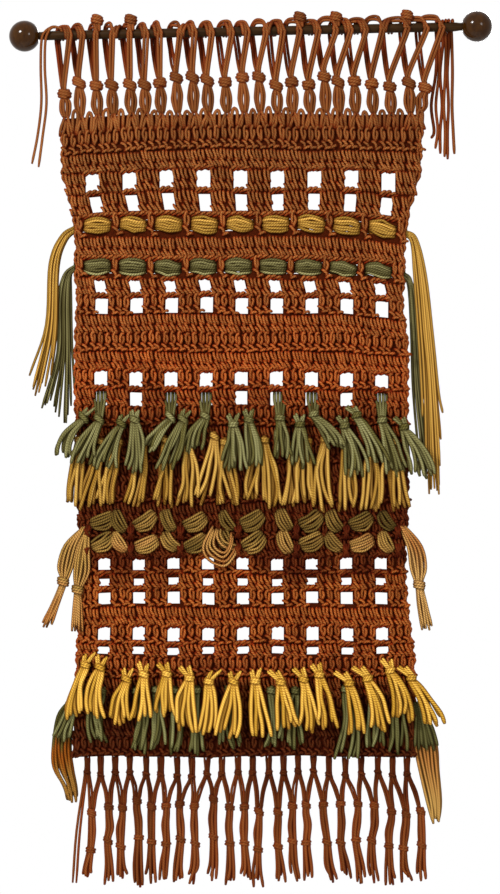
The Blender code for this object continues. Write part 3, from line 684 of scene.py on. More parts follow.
def add_stitches(yarns, row):
    """The strands of every stitch of one row."""
    middles, widths = stitch_places(row)
    widths = np.minimum(widths, WIDEST_STITCH)
    lean = jitter(len(middles), 1.5)
    drift = jitter((len(middles), 1), 1.0)
    middles = middles + jitter(len(middles), 0.5)
    for strand in STITCHES[row.stitch]:
        across, y, drop = columns_of(strand)
        x = middles[:, None] + widths[:, None] * across + lean[:, None] * drop
        down = row.top + (row.bottom - row.top) * drop + drift
        yarns.lay(placed(x, y, down), 0.55, 2, STITCH_YARN, 5, IN_FRONT)


def add_back(yarns, row):
    """The slanted posts and the ridge that a row shows on the back of the cloth."""
    middles, widths = stitch_places(row)
    across, y, drop = columns_of(BACK_STITCH)
    x = middles[:, None] + widths[:, None] * across
    down = row.top + (row.bottom - row.top) * drop
    yarns.lay(placed(x, y, down), 0.3, 1, YARN, 5, AT_BACK)
    edge = outline_at(row.top)
    steps = int((edge.right - edge.left - 4) / STITCH * 2)
    x = np.linspace(edge.left + 2, edge.right - 2, steps)
    odd = np.arange(steps) % 2
    ridge = placed(x, 2.0 + 1.2 * odd, row.top + 1.4 - 1.6 * odd)
    yarns.lay(ridge, 0.3, 1, YARN, 5, 0.5 * (1 - odd))


def add_chain(yarns, row):
    """The slanted loops that arch over each hole of a row."""
    across, depth, drop = columns_of(CHAIN_DASH)
    reach = row.opening + 2.5
    count = max(2, round(2 * reach / CHAIN_STITCH))
    pitch = 2 * reach / count
    arched = row.opening < RIBBON_OPENING
    for centre in hole_centres(row.top):
        middles = centre - reach + pitch * (np.arange(count) + 0.5)
        x = middles[:, None] + pitch * 1.15 * across
        rise = 2.2 * np.maximum(0, 1 - ((x - centre) / reach) ** 2) * arched
        for lift in (0.0, 2.0):
            down = row.top - 0.4 + 18 * drop - rise + lift
            places = placed(x + lift, depth + lift * 0.7 - 0.8, down)
            yarns.lay(places, 0.3, 2, STITCH_YARN, 5, IN_CHAIN)


def add_edges(yarns, rows):
    """The turning chains up both sides of the cloth."""
    part = np.linspace(0, 1, 7)
    turn = part * 3 * math.pi
    y = -0.3 - 1.1 * np.cos(turn)
    for row in rows:
        upper, lower = outline_at(row.top), outline_at(row.bottom)
        down = row.top + (row.bottom - row.top) * part * 1.05
        for side, first, last in ((-1, upper.left, lower.left), (1, upper.right, lower.right)):
            for inset, swing in ((1.6, 1.5), (3.6, -1.3)):
                x = first + (last - first) * part - side * (inset - swing * np.sin(turn))
                yarns.lay(placed(x, y, down), 0, 2, STITCH_YARN, 6, 0.25)


def build_stitches(name, rows, look):
    """A part of the cloth's crochet."""
    yarns = Yarns()
    for row in rows:
        add_stitches(yarns, row)
        if row.opening:
            add_chain(yarns, row)
        if row.opening < RIBBON_OPENING:
            add_back(yarns, row)
    add_edges(yarns, rows)
    return yarns.shown(name, look, "brown_yarn")


def add_heading(yarns):
    """The yarn that spreads from the foot of each loop, and an arch between two feet."""
    for loop in LOOPS:
        foot = foot_of(loop)
        arms = []
        for side, gap in ((-1, 0.0), (-1, 3.6), (1, 0.0), (1, 3.6)):
            arms.append((
                (foot + side * 1.0, -0.8, 89 + gap),
                (foot + side * (3.2 - gap * 0.4), -2.8, 94 + gap),
                (foot + side * (5.2 - gap * 0.7), -2.4, 100 + gap * 0.6),
                (foot + side * (6.6 - gap * 0.6), 0.2, 107),
            ))
        yarns.lay(arms, 0.8, sunk=(-2.16, 0.24, 1.0))
        middle = (foot + 9.2 + nudge(1.0), 0, nudge(1.6))
        arch = np.array([HEADING_ARCH]) + middle + jitter((1, len(HEADING_ARCH), 3), 0.6)
        if foot < LAST_ARCH:
            yarns.lay(arch, radius=1.95, sunk=(-2.4, 0.0, 1.0))


# The web under the stitches: a thin sheet with the same holes, near black as painted shade.
def web_levels():
    """Depth and opening of each level of the web, and whether holes lie below it."""
    levels = [(WEB_TOP, PLAIN_OPENING, False), (ROWS[0].bottom, PLAIN_OPENING, False)]
    for row in ROWS[1:]:
        if row.opening:
            levels += [(row.hole_top, row.opening, True), (row.hole_bottom, row.opening, False)]
        elif row.bottom - levels[-1][0] > 9:
            levels.append((row.bottom - 4, PLAIN_OPENING, False))
    return levels + [(ROWS[-1].bottom, PLAIN_OPENING, False)]


def build_web(look):
    """The cloth's inner web, seen between the stitches, dark as painted shade."""
    bm = bmesh.new()
    levels = web_levels()
    rows = []
    for down, opening, _ in levels:
        stops = stops_across(outline_at(down), WEB_INSET, down, opening)
        fine = np.interp(np.arange(0, len(stops) - 0.5, 0.5), np.arange(len(stops)), stops)
        places = draped([(x, WEB_FRONT, down) for x in fine]) * (1, 1, -1) * MM
        rows.append([bm.verts.new(place) for place in places])
    for (_, _, open_below), upper, lower in zip(levels, rows, rows[1:]):
        for k in range(len(upper) - 1):
            if open_below and (k // 2) % 2:
                continue
            bm.faces.new((upper[k], upper[k + 1], lower[k + 1], lower[k]))
    made = bmesh.ops.extrude_face_region(bm, geom=bm.faces[:])
    back = [item for item in made["geom"] if isinstance(item, bmesh.types.BMVert)]
    bmesh.ops.translate(bm, verts=back, vec=(0, WEB * MM, 0))
    bmesh.ops.recalc_face_normals(bm, faces=bm.faces[:])
    mesh = bpy.data.meshes.new("cloth_web")
    bm.to_mesh(mesh)
    bm.free()
    return shown("cloth_web", mesh, look, ["crochet_cloth"])


# Rod and its turned knobs.
def turned(name, node, profile, look):
    """A turned form about the rod's middle line. profile is places along it, each with its radius."""
    tilt = math.atan2(ROD_RISE, BALL_CENTRE)
    turns = 2 * math.pi * np.arange(TURNED_SIDES) / TURNED_SIDES
    along, radius = np.array(profile, float).T[:, :, None]
    out, up = radius * np.cos(turns), radius * np.sin(turns)
    x = along * math.cos(tilt) - up * math.sin(tilt)
    z = along * math.sin(tilt) + up * math.cos(tilt)
    places = np.stack([x, out, z], axis=-1).reshape(-1, 3) * MM
    rings = np.arange(len(places)).reshape(-1, TURNED_SIDES)
    faces = [rings[0][::-1].tolist()]
    for near, far in zip(rings, rings[1:]):
        sides = np.stack([near, np.roll(near, -1), np.roll(far, -1), far], axis=-1)
        faces += sides.tolist()
    faces.append(rings[-1].tolist())
    mesh = bpy.data.meshes.new(name)
    mesh.from_pydata(places.tolist(), [], faces)
    mesh.polygons.foreach_set("use_smooth", [True] * len(faces))
    mesh.set_sharp_from_angle(angle=math.radians(40))
    return shown(name, mesh, look, [node])


def build_rod(look):
    """The stick, necked where it enters the knobs."""
    half = [
        (SEAT - 9, ROD_RADIUS), (SEAT - 6, 0.5 * (ROD_RADIUS + ROD_NECK)),
        (SEAT - 3, ROD_NECK), (SEAT + BORE_DEPTH - SLACK, ROD_NECK),
    ]
    profile = [(-along, radius) for along, radius in reversed(half)] + half
    return turned("turned_rod", "rod", profile, look)


def build_knob(name, node, side, look):
    """A ball with a flat seat and a bore, in which the rod's neck sits."""
    profile = [(SEAT + BORE_DEPTH, BORE_RADIUS), (SEAT, BORE_RADIUS)]
    for turn in np.linspace(math.asin(SEAT_RADIUS / BALL_RADIUS), math.pi - 0.02, 26):
        profile.append((BALL_CENTRE - BALL_RADIUS * math.cos(turn), BALL_RADIUS * math.sin(turn)))
    profile = [(side * along, radius) for along, radius in profile]
    return turned(name, node, profile[::side], look)


# Loops over the rod.
def foot_of(loop):
    """Where a loop's yarn enters the cloth."""
    edge = outline_at(HEADING_DOWN)
    return min(max(loop.knot + 2, edge.left + 6), edge.right - 6)


def add_carrying_yarn(yarns, loop):
    """Two strands from the knot up the front, over the rod to the left, and down the back."""
    level = rod_down(loop.crossing)
    behind = loop.knot - 8
    crest = (loop.crossing + behind) / 2
    half = (loop.crossing - behind) / 2
    rise = 7.6 + 0.45 * min(loop.hump, 6) + nudge(1.3)
    drop = loop.down - level
    places = []
    for across in (-1.7, 1.7):
        places.append((
            (loop.knot + across * 0.7, -1.6, loop.down - 4),
            (loop.knot + across * 0.9, -3.2, loop.down - 12),
            (loop.crossing + across, -7.0, level + 6),
            (loop.crossing + across, -7.2, level),
            (crest + half * 0.86, -4.6, level - 6 - across * 0.6),
            (crest + half * 0.5, -2.0, level - rise * 0.96 - across),
            (crest - half * 0.4, 2.0, level - rise * 0.98 - across),
            (behind - across * 0.7 + 1, 5.4, level - 5.4 - across * 0.7),
            (behind - across, 7.0, level + 3),
            (behind - across + 2, 6.6, level + drop * 0.36),
            (behind - across * 0.9 + 4.4, 4.4, level + drop * 0.68),
            (loop.knot - across * 0.6 - 1.4, 1.2, loop.down - 5),
        ))
    yarns.lay(places, 0.35, 4, sunk=BEHIND_ROD, flat=False)


def add_slack_turn(yarns, loop):
    """Two strands that cross the rod aslant, from the loop's front to its neighbour's back."""
    level, side = rod_down(loop.crossing), CHANCE.choice([-1, -1, 1])
    reach = 7.5 + nudge(1.5)
    part, y, down = columns_of(SLACK_TURN)
    x = loop.crossing + side * (reach * part + np.array([[0.0], [3.2]]))
    turns = placed(x, y, level + down)
    turns[:, 1:-1] += jitter((2, len(SLACK_TURN) - 2, 3), 0.5)
    yarns.lay(turns, 0, 2, SLACK_YARN, sunk=BEHIND_ROD, flat=False)


def add_lump(yarns, loop):
    """The wound lump that stands on the rod above some of the loops."""
    level = rod_down(loop.crossing)
    x, down = loop.crossing + 1, level - 8 - loop.hump * 0.65
    turn = coil((x, -1.5, down), (4.8, 3.8), 4.6, 3, 2.0, 9, 0.4)
    yarns.lay(turn, 0.3, 1, KNOT_YARN, flat=False)
    stem = [
        ((x + dx, -5.6, level - 3), (x + dx * 0.9, -3, down + 5), (x, -1.5, down - 3))
        for dx in (-2.4, 0.2, 2.6)
    ]
    yarns.lay(stem, 0, 4, SLACK_YARN, sunk=0.1, flat=False)


def add_loop_knot(yarns, loop):
    """Three wraps round the bundle and the leaf of strands below it."""
    tilt = nudge(0.6)
    wraps = coil((loop.knot, 0.2, loop.down), (5.3, 4.0), 4.6, 3, tilt * 3, 10, 0.34)
    wraps[..., 0] += jitter(wraps.shape[1], 0.4)
    wraps[..., 2] += (wraps[..., 0] - loop.knot) * (0.12 + 0.3 * tilt)
    yarns.add(wraps, KNOT_YARN)
    core = [(loop.knot + dx, y, loop.down + dz) for dx, y, dz in ((-1.4, 0.2, -7), (0, 0, 0), (1, 0, 7))]
    yarns.lay(core, radius=3.2, sunk=0.6, flat=False)
    foot = foot_of(loop)
    foot_down = FEET_DOWN + sag(foot, FEET_DOWN)
    x, middle = (loop.knot + foot) / 2, (loop.down + foot_down) / 2 + 2
    leaf = []
    for spread, y in ((-1.0, -0.2), (-0.38, -1.9), (0.38, -1.7), (1.0, 0.2), (-0.5, 1.8), (0.5, 1.9)):
        leaf.append((
            (loop.knot + spread * 2.2, y * 0.5, loop.down + 4),
            (x + spread * 4.8, y * 1.2, middle - 5),
            (x + spread * 5.0, y * 1.2, middle + 4),
            (foot + spread * 2.0, y * 0.4, foot_down),
        ))
    yarns.lay(leaf, 0.35, flat=False)


def build_loops(look):
    """The yarn loops over the rod, each with its knot, and the heading that they carry."""
    yarns = Yarns()
    for loop in LOOPS:
        add_carrying_yarn(yarns, loop)
        if loop.hump > LUMP_HUMP:
            add_lump(yarns, loop)
        elif SLACK_LEFT < loop.crossing < SLACK_RIGHT:
            add_slack_turn(yarns, loop)
        add_loop_knot(yarns, loop)
    add_heading(yarns)
    return yarns.shown("loop_yarns", look, "brown_yarn", "hanging_loops")


# Ribbons woven through the two wide-open rows.
def ribbon_paths(down, swell, count, front):
    """One layer of a ribbon's strands, compact behind the posts and swelling in the openings."""
    edge = outline_at(down)
    rank = np.linspace(-1, 1, count)
    bulge = 0.8 * (1 - rank**2) * np.sign(front)
    side = (RIBBON_OPENING - 3.0, 0.78, front * 0.5 + 1.2, 1)
    right = [(0.0, 1.0, front * 1.2, 0), (6.0, 0.96, front, 0.6), side, (RIBBON_OPENING, 0.48, 5.0, 0)]
    left = [(-dx, part, y, -turn) for dx, part, y, turn in reversed(right[1:])]
    places = [placed(edge.left - 1, 5.0, down + rank * 4)]
    for centre in hole_centres(down):
        slant = CHANCE.choice([0.0, 0.10, -0.10, 0.18, 0.25])
        size = swell * (0.9 + 0.1 * CHANCE.random()) - 1.9
        for dx, part, y, turn in left + right:
            height = (rank * (1 - abs(slant) * abs(turn)) + slant * turn) * size * part
            ease = jitter((count, 3), 0.8) * (1, 0.3, 0.85)
            places.append(placed(centre + dx, y + bulge, down + height) + ease)
    places.append(placed(edge.right + 1, 5.0, down + rank * 4))
    return np.stack(places, axis=1)


def add_tail(yarns, tail):
    """Strands of a ribbon that hang beside the cloth."""
    tips = np.array(tail.tips, float)
    strands = []
    for part in np.linspace(0, 1, tail.count):
        offset = part - 0.5
        places = [(x + offset * wide, y, down + offset * deep) for x, y, down, wide, deep in tail.knees]
        at = part * (len(tips) - 1)
        tip_x, tip_down = (np.interp(at, np.arange(len(tips)), column) for column in tips.T)
        strands.append([*places, (tip_x, places[-1][1], tip_down)])
    strands = np.array(strands)
    behind = every_second(tail.count)
    strands[..., 1] += 2.0 * behind
    strands += strand_shifts(*strands.shape[:2], (1.6, 1.2, 7.0)) + jitter(strands.shape, 0.5)
    low, high = tail.shades
    shades = low + (high - low) * CHANCE.random(tail.count)
    yarns.lay(strands, 0, 6, TAIL_YARN, sunk=0.45 * behind, tone=shades)


def build_ribbon(name, node, down, swell, tails, look, slot):
    """A ribbon in two layers of strands, its width in the openings being swell, with its tails."""
    yarns = Yarns()
    front = ribbon_paths(down, swell, 6, -2.4)
    yarns.lay(front, radius=RIBBON_YARN, sunk=(-1.5, 3.5, 0.9), tone=CHANCE.random(6) ** 1.5)
    yarns.lay(ribbon_paths(down, swell, 5, 2.6), radius=RIBBON_YARN, sides=5, sunk=0.85)
    for tail in tails:
        add_tail(yarns, tail)
    return yarns.shown(name, look, slot, node)


# Tassels.
def slant_of(row):
    """How far a tassel hangs sideways for each step down."""
    return ((row.left + row.right) / 2 - row.knot) / (row.end - row.down)


def add_tassel_knot(yarns, row, layer):
    """The wraps of a knot, square to the tassel, round the strands inside."""
    tilt = nudge(0.25) - slant_of(row)
    wraps = coil((row.knot, layer, row.down), TASSEL_KNOT, 2.6, 2, CHANCE.random() * 3)
    wraps[..., 2] += (wraps[..., 0] - row.knot) * tilt
    yarns.add(draped(wraps), KNOT_YARN)
    core = placed(row.knot, layer, row.down + np.array((-5, 0, 5)))
    yarns.lay(core, 0, 2, 3.4, sunk=0.5)


def add_tassel_fan(yarns, row, layer, fan):
    """Strands that leave the knot, bow out and hang to their cut ends, in painted shadow near the knot."""
    count, swing, start_down = fan.count, fan.swing, row.down + 2
    rank = (np.arange(count) + 0.5) / count
    behind = every_second(count)
    start = row.knot + (rank - 0.5) * 7
    spread = np.clip(rank + jitter(count, 0.6) / count, 0, 1)
    end = row.left - fan.widening + (row.right - row.left + 2 * fan.widening) * spread
    depth = layer + np.where(behind[:, 0], 1.6, -1.2) + jitter(count, 0.5)
    last = row.end + jitter(count, 5.5) - 3.0 * np.abs(rank - 0.5)
    bow = (jitter(count, 2.2) + jitter(1, 4.0)) * swing
    curl = jitter(count, 2.2) * swing
    places = []
    for part, reach, lift in FAN_PARTS:
        x = start + (end - start) * reach + bow * math.sin(math.pi * part) + curl * part**3 * 1.6
        x += jitter(count, 1.5 * part * (1 - part) * 4 * swing)
        places.append(placed(x, depth + lift, start_down + (last - start_down) * part))
    places = smooth(np.stack(places, axis=1))
    # Painted shadow: on every second strand, which lies behind, and near the knot.
    sunk = 0.55 * behind + 0.4 * (1 - share(places[..., 2] - start_down, 0, fan.shade))
    yarns.add(draped(places), fan.radius, sunk=np.clip(sunk, 0, 1))


def add_neck(yarns, row, strip_down, layer):
    """Strands from the cloth to the knot; some come from behind, through a hole of the row above."""
    if row.knot in HOLE_NECKS:
        top = strip_down - 14
        rise = ((1.6, 5.0, top - 9), (1.7, 4.6, top - 3), (1.7, 1.6, top + 4), (1.3, -3.6, top + 11.5))
    else:
        rise = ((0.9, -0.5, row.down - 4.5), (1.0, layer * 0.5, row.down + 0.5))
    neck = []
    for dx in (-3.4, -1.1, 1.2, 3.4):
        places = [(row.knot + dx * wide, y, down) for wide, y, down in rise]
        neck.append([*places, (row.knot + dx * 0.75, layer - 0.5 + abs(dx) * 0.3, row.down)])
    yarns.lay(neck, sunk=0.15)


def add_cut_ends(yarns, row, layer, length):
    """Short ends above a knot, in two prongs of two strands that point away from the fan."""
    part = np.array((0.0, 0.5, 1.0))
    for side in (-1, 1):
        lean = row.lean + side * (0.15 + 0.3 * CHANCE.random()) - 1.5 * slant_of(row)
        reach = length * (0.85 + 0.3 * CHANCE.random())
        for pair in (-1, 1):
            x = row.knot + side * 1.8 + pair * 1.1 + lean * reach * part
            yarns.lay(placed(x, layer - 1.5 * part - 0.4, row.down - 2 - (reach + pair) * part))


def build_tassels(name, node, rows, strip_down, layers, fan, prongs, look, slot):
    """A row of tassels on the strip of cloth at strip_down, in two layers by turns.

    prongs is the length of the cut ends above the knots, or 0 where none show.
    """
    yarns = Yarns()
    for i, row in enumerate(rows):
        layer = layers[i % 2]
        add_tassel_knot(yarns, row, layer)
        add_tassel_fan(yarns, row, layer, fan)
        add_neck(yarns, row, strip_down, layer)
        if prongs and row.knot not in HOLE_NECKS:
            add_cut_ends(yarns, row, layer, prongs)
    return yarns.shown(name, look, slot, node)


# Puff band.
def add_puff(yarns, middle, length, width, slope, tone):
    """A slanted bundle of strands, tucked into the cloth at both ends."""
    count = round(width / 3.2)
    rank = np.linspace(-1, 1, count)
    along = np.array([math.cos(slope), 0, math.sin(slope)])
    sideways = np.array([-along[2], 0, along[0]])
    places = []
    for part, spread, lift in PUFF_PARTS:
        reach = part * length * (1 - 0.12 * rank**2)
        bend = 2.2 * (1 - 4 * part**2)
        place = np.array(middle) + reach[:, None] * along
        place = place + (rank * spread * (width / 2 - 1.6) + bend)[:, None] * sideways
        place[:, 1] += lift * (1 - 0.4 * rank**2)
        places.append(place)
    places = smooth(np.stack(places, axis=1) + jitter((count, len(PUFF_PARTS), 3), 0.8))
    # Painted shade where the strands tuck into the cloth, and on some strands chosen at random.
    tucked = 0.9 * np.abs(np.linspace(-1, 1, places.shape[1])) ** 5
    sunk = np.clip(tucked + CHANCE.choice([0, 0.1, 0.3], (count, 1)), 0, 1)
    yarns.add(draped(places), PUFF_YARN, sunk=sunk, tone=tone)


def add_side_tassel(yarns, places, widths, tone):
    """A loose bundle beside the band, with a knot over its cut ends."""
    places = np.array(places, float)
    rank = np.linspace(-1, 1, SIDE_STRANDS)[:, None]
    behind = every_second(SIDE_STRANDS)
    strands = np.repeat(places[None], SIDE_STRANDS, axis=0)
    strands[..., 0] += rank * np.array(widths)
    strands[..., 1] += 2.2 * behind - 1.5 * (1 - rank**2)
    strands[:, -1, 2] += jitter(SIDE_STRANDS, 5)
    yarns.lay(strands, 0.9, 4, PUFF_YARN, sunk=0.6 * behind, tone=tone)
    x, y, down = places[3]
    yarns.add(draped(coil((x, y - 0.8, down), (5.2, 3.8), 4.0, 3, 0.5)), tone=tone)


def build_puffs(look):
    """Both rows of puffs, the slack loops below their middle and the tassels beside them."""
    yarns = Yarns()
    for post in POSTS:
        for down, tone in PUFF_ROWS:
            for dx, length, width, slope in PUFF_PAIR:
                if not PUFF_LEFT < post + dx < PUFF_RIGHT:
                    continue
                shift = jitter(4, 1.0)
                middle = (post + dx + 1.2 * shift[0], -5.0, down + 1.2 * shift[1])
                own = tone + 0.30 * CHANCE.random()
                add_puff(yarns, middle, length, width + 1.5 * shift[2], slope + 0.14 * shift[3], own)
    for k, loop in enumerate(BIG_LOOPS):
        yarns.lay(loop, 0.5, 4, PUFF_YARN, sunk=0.15 * (k % 2), tone=0.7)
    for places, widths, tone in SIDE_TASSELS:
        add_side_tassel(yarns, places, widths, tone)
    return yarns.shown("puff_yarns", look, "variegated_yarn", "puff_band")


def build_posts(look):
    """The brown stitches that gather each pair of puffs."""
    yarns = Yarns()
    for x in POSTS:
        for down in POST_ROWS:
            strands = []
            for dx in (-2.6, 0.2, 2.8):
                upper = ((x + dx, -3, down), (x + dx * 0.8, -7.5, down + 5))
                strands.append((*upper, (x - dx * 0.3, -8.5, down + 9), (x - dx, -3, down + 15)))
            yarns.lay(strands, 0.5, 3, FINE_YARN, sunk=0.35)
    return yarns.shown("puff_posts", look, "brown_yarn")


# Side tails.
def add_bundle(yarns, knees, count, stray, front, step, radius, shade, tone=None):
    """Strands side by side through the knees, every second one a step behind, with uneven ends."""
    knees = np.array(knees, float)
    rank = np.linspace(-1, 1, count)[:, None]
    behind = every_second(count)
    down = knees[:, 1] + jitter((count, 1), stray) * np.linspace(0, 1, len(knees)) ** 2
    places = placed(knees[:, 0] + rank * knees[:, 2], front + step * behind, down)
    yarns.lay(places, 0.9, 4, radius, sunk=shade * behind, tone=tone)


def build_side_tail(name, node, knees, look, fan=()):
    """A bundle beside the cloth's edge, with green blunt strands on its upper part where a fan is given."""
    yarns = Yarns()
    add_bundle(yarns, knees, count=12, stray=6, front=2.8, step=2.8, radius=YARN, shade=0.5)
    yarns.add(draped(coil((knees[0][0], 4.4, knees[0][1] + 4), (5.4, 2.6), 3.0, 2)), 1.7)
    if fan:
        add_bundle(yarns, fan, count=9, stray=4, front=-0.8, step=1.8, radius=2.0, shade=0.4,
                   tone=TAIL_FAN_TONE)
    return yarns.shown(name, look, "variegated_yarn", node)


# Knotted fringe.
def add_knot(yarns, x, down, size, turns, rise):
    """A small wound knot, a little tilted."""
    wraps = coil((x, 0, down), (size, size * 0.7), rise, turns, CHANCE.random() * 3, 8)
    wraps[..., 2] += (wraps[..., 0] - x) * nudge(0.3)
    yarns.add(draped(wraps), 1.75, 5)


def add_net(yarns):
    """The yarn between the cloth and the knots, in slack V shapes."""
    for i, x in enumerate(FRINGE_STARTS):
        top_knot = NET_DOWN + 6 * CHANCE.random()
        for side, knot in ((-1, FRINGE_KNOTS[max(i - 1, 0)]), (1, FRINGE_KNOTS[i])):
            strands = []
            for pair in (-1, 1):
                places = [
                    (x + side * 1.4 + pair * 1.2, 0.4, HEM_DOWN),
                    (x + side * 1.0 + pair * 1.0, 0.0, top_knot),
                    ((x + knot.knot) / 2 + pair * 1.3 + side, 0.0, (top_knot + knot.down) / 2),
                    (knot.knot - side * 1.8 + pair * 0.8, 0.0, knot.down - 2),
                ]
                if side < 0 and i == 0:
                    places[2:] = [(-190 + pair * 1.6, 0.0, 880), (-194 + pair * 2.0, 0.0, 936)]
                strands.append(places)
            yarns.lay(strands, 0.5, 4, FINE_YARN, 5, np.array([[0.0], [0.35]]))
        add_knot(yarns, x, top_knot, 3.0, 1.5, 1.8)


def add_string(yarns, knot, end_down):
    """A string of four strands with its knot, lump and parted ends."""
    lump_down = knot.down + 36 + 8 * CHANCE.random()
    sway = jitter(2, 1.6)
    strands = []
    for dx, y in ((-3.2, 0.4), (-0.6, -1.7), (2.9, -1.0), (0.7, 1.7)):
        strands.append((
            (knot.knot + dx * 0.7, y * 0.7, knot.down - 4),
            (knot.knot + dx * 0.8, y, knot.down + 8),
            ((knot.knot + knot.lump) / 2 + dx + sway[0], y, knot.down + 22),
            (knot.lump + dx * 0.8, y, lump_down),
            ((knot.lump + knot.end) / 2 + dx * 1.2 + sway[1], y, (lump_down + end_down) / 2 + 4),
            (knot.end + dx * 1.5 + nudge(1.8), y, end_down + nudge(6)),
        ))
    yarns.lay(strands, 0.6, 4, 2.0, 5, np.array([[0.3], [0.0], [0.15], [0.6]]))
    add_knot(yarns, knot.knot, knot.down, 4.0, 2.5, 3.2)
    add_knot(yarns, knot.lump, lump_down, 4.2, 2, 2.8)


def build_fringe(look):
    """The net and the strings below it, with uneven ends."""
    yarns = Yarns()
    add_net(yarns)
    for i, knot in enumerate(FRINGE_KNOTS):
        add_string(yarns, knot, FRINGE_END + (i * 5) % 8 - 4)
    return yarns.shown("fringe_yarns", look, "brown_yarn", "bottom_fringe")


# Loose cords beside the outermost loops.
def build_left_cord(look):
    """Two strands that leave the first loop over the rod and hang in front of it."""
    strands = []
    for across, tip_x, tip_down in ((-2.1, -240, 146), (2.1, -233, 150)):
        strands.append((
            (-207, -3.0, rod_down(-207) - 3),
            (-210, -4.5, rod_down(-210) - 7.5),
            (-218, -5.0, rod_down(-218) - 8.5),
            (-225 + across, -6.6, rod_down(-225) - 2),
            (-227.5 + across, -7.2, 14),
            (-228 + across, -7.4, 42),
            (-227 + across * 1.2, -7, 80),
            (-231 + across * 1.4, -6.5, 116),
            (tip_x, -6, tip_down),
        ))
    yarns = Yarns()
    yarns.lay(strands, 0.4, 5, FINE_YARN, 5, flat=False)
    return yarns.shown("left_cord_yarns", look, "brown_yarn", "loose_cord_left")


def build_right_cords(look):
    """Cords that hang from the rod behind the last loop."""
    strands = []
    for start, tip_x, tip_down in RIGHT_CORDS:
        bend = nudge(2.5)
        level = rod_down(start)
        strands.append((
            (start, -5.0, level - 5.0),
            (start, 0.5, level - 7.2),
            (start, 7.2, level),
            (start + 0.5, 8.6, 14),
            ((start * 2 + tip_x) / 3 + bend, 11, 45),
            ((start + tip_x) / 2 - bend, 11.5, 80),
            ((start + tip_x * 2) / 3 + bend * 0.7, 11.5, 108),
            (tip_x, 10.5, tip_down),
        ))
    yarns = Yarns()
    yarns.lay(strands, 0.6, 5, YARN, sunk=np.array(RIGHT_CORD_SHADOWS)[:, None], flat=False)
    return yarns.shown("right_cord_yarns", look, "brown_yarn", "loose_cords_right")


# Materials.
class Shading:
    """A material whose nodes are added one by one; where is the place on the piece, in metres."""

    def __init__(self, name):
        self.material = bpy.data.materials.new(name)
        self.material.use_nodes = True
        self.tree = self.material.node_tree
        self.where = self.add("ShaderNodeTexCoord").outputs["Object"]

    def put(self, socket, value):
        """Links another node's output to a socket, or sets its value."""
        if isinstance(value, bpy.types.NodeSocket):
            self.tree.links.new(value, socket)
        else:
            socket.default_value = value

    def add(self, kind, inputs=None, **settings):
        """A node with its settings and inputs."""
        node = self.tree.nodes.new(kind)
        for key, value in settings.items():
            setattr(node, key, value)
        for key, value in (inputs or {}).items():
            self.put(node.inputs[key], value)
        return node

    def named(self, attribute):
        """One of the numbers that the mesh holds for each of its points."""
        return self.add("ShaderNodeAttribute", attribute_name=attribute).outputs["Fac"]

    def parts(self, vector):
        """The three parts of a vector."""
        return self.add("ShaderNodeSeparateXYZ", {0: vector}).outputs

    def math(self, operation, *values):
        """A calculation with one to three numbers."""
        return self.add("ShaderNodeMath", dict(enumerate(values)), operation=operation).outputs[0]

    def scaled(self, value, by, plus):
        """The value times by, plus plus."""
        return self.math("MULTIPLY_ADD", value, by, plus)

    def times(self, a, b):
        """Two numbers multiplied."""
        return self.math("MULTIPLY", a, b)

    def blend(self, share_of_b, a, b, how="MIX"):
        """Two colours mixed."""
        node = self.add("ShaderNodeMix", data_type="RGBA", blend_type=how)
        for key, value in (("Factor", share_of_b), (6, a), (7, b)):
            self.put(node.inputs[key], value)
        return node.outputs[2]

    def tinted(self, color, by):
        """A colour multiplied by another one, or by a number."""
        if isinstance(by, bpy.types.NodeSocket) and by.type == "VALUE":
            by = self.add("ShaderNodeCombineColor", {0: by, 1: by, 2: by}).outputs[0]
        return self.blend(1.0, color, by, "MULTIPLY")

    def noise(self, where, scale, detail=2.0, roughness=0.5):
        """Soft noise between 0 and 1."""
        inputs = {"Vector": where, "Scale": scale, "Detail": detail, "Roughness": roughness}
        return self.add("ShaderNodeTexNoise", inputs).outputs["Fac"]

    def ramp(self, value, stops):
        """The colour of a row of stops at a value."""
        node = self.add("ShaderNodeValToRGB", {"Fac": value})
        points = node.color_ramp.elements
        for point, (place, color) in zip(points, (stops[0], stops[-1])):
            point.position, point.color = place, (*color, 1)
        for place, color in stops[1:-1]:
            points.new(place).color = (*color, 1)
        return node.outputs["Color"]

    def surface(self, color, relief, strength, rise, roughness, gloss):
        """The finished material, with a relief that rises by so many metres."""
        shader = self.tree.nodes["Principled BSDF"]
        bump = self.add("ShaderNodeBump", {"Strength": strength, "Distance": rise, "Height": relief})
        self.put(shader.inputs["Base Color"], color)
        self.put(shader.inputs["Normal"], bump.outputs[0])
        shader.inputs["Roughness"].default_value = roughness
        shader.inputs["Specular IOR Level"].default_value = gloss
        return self.material


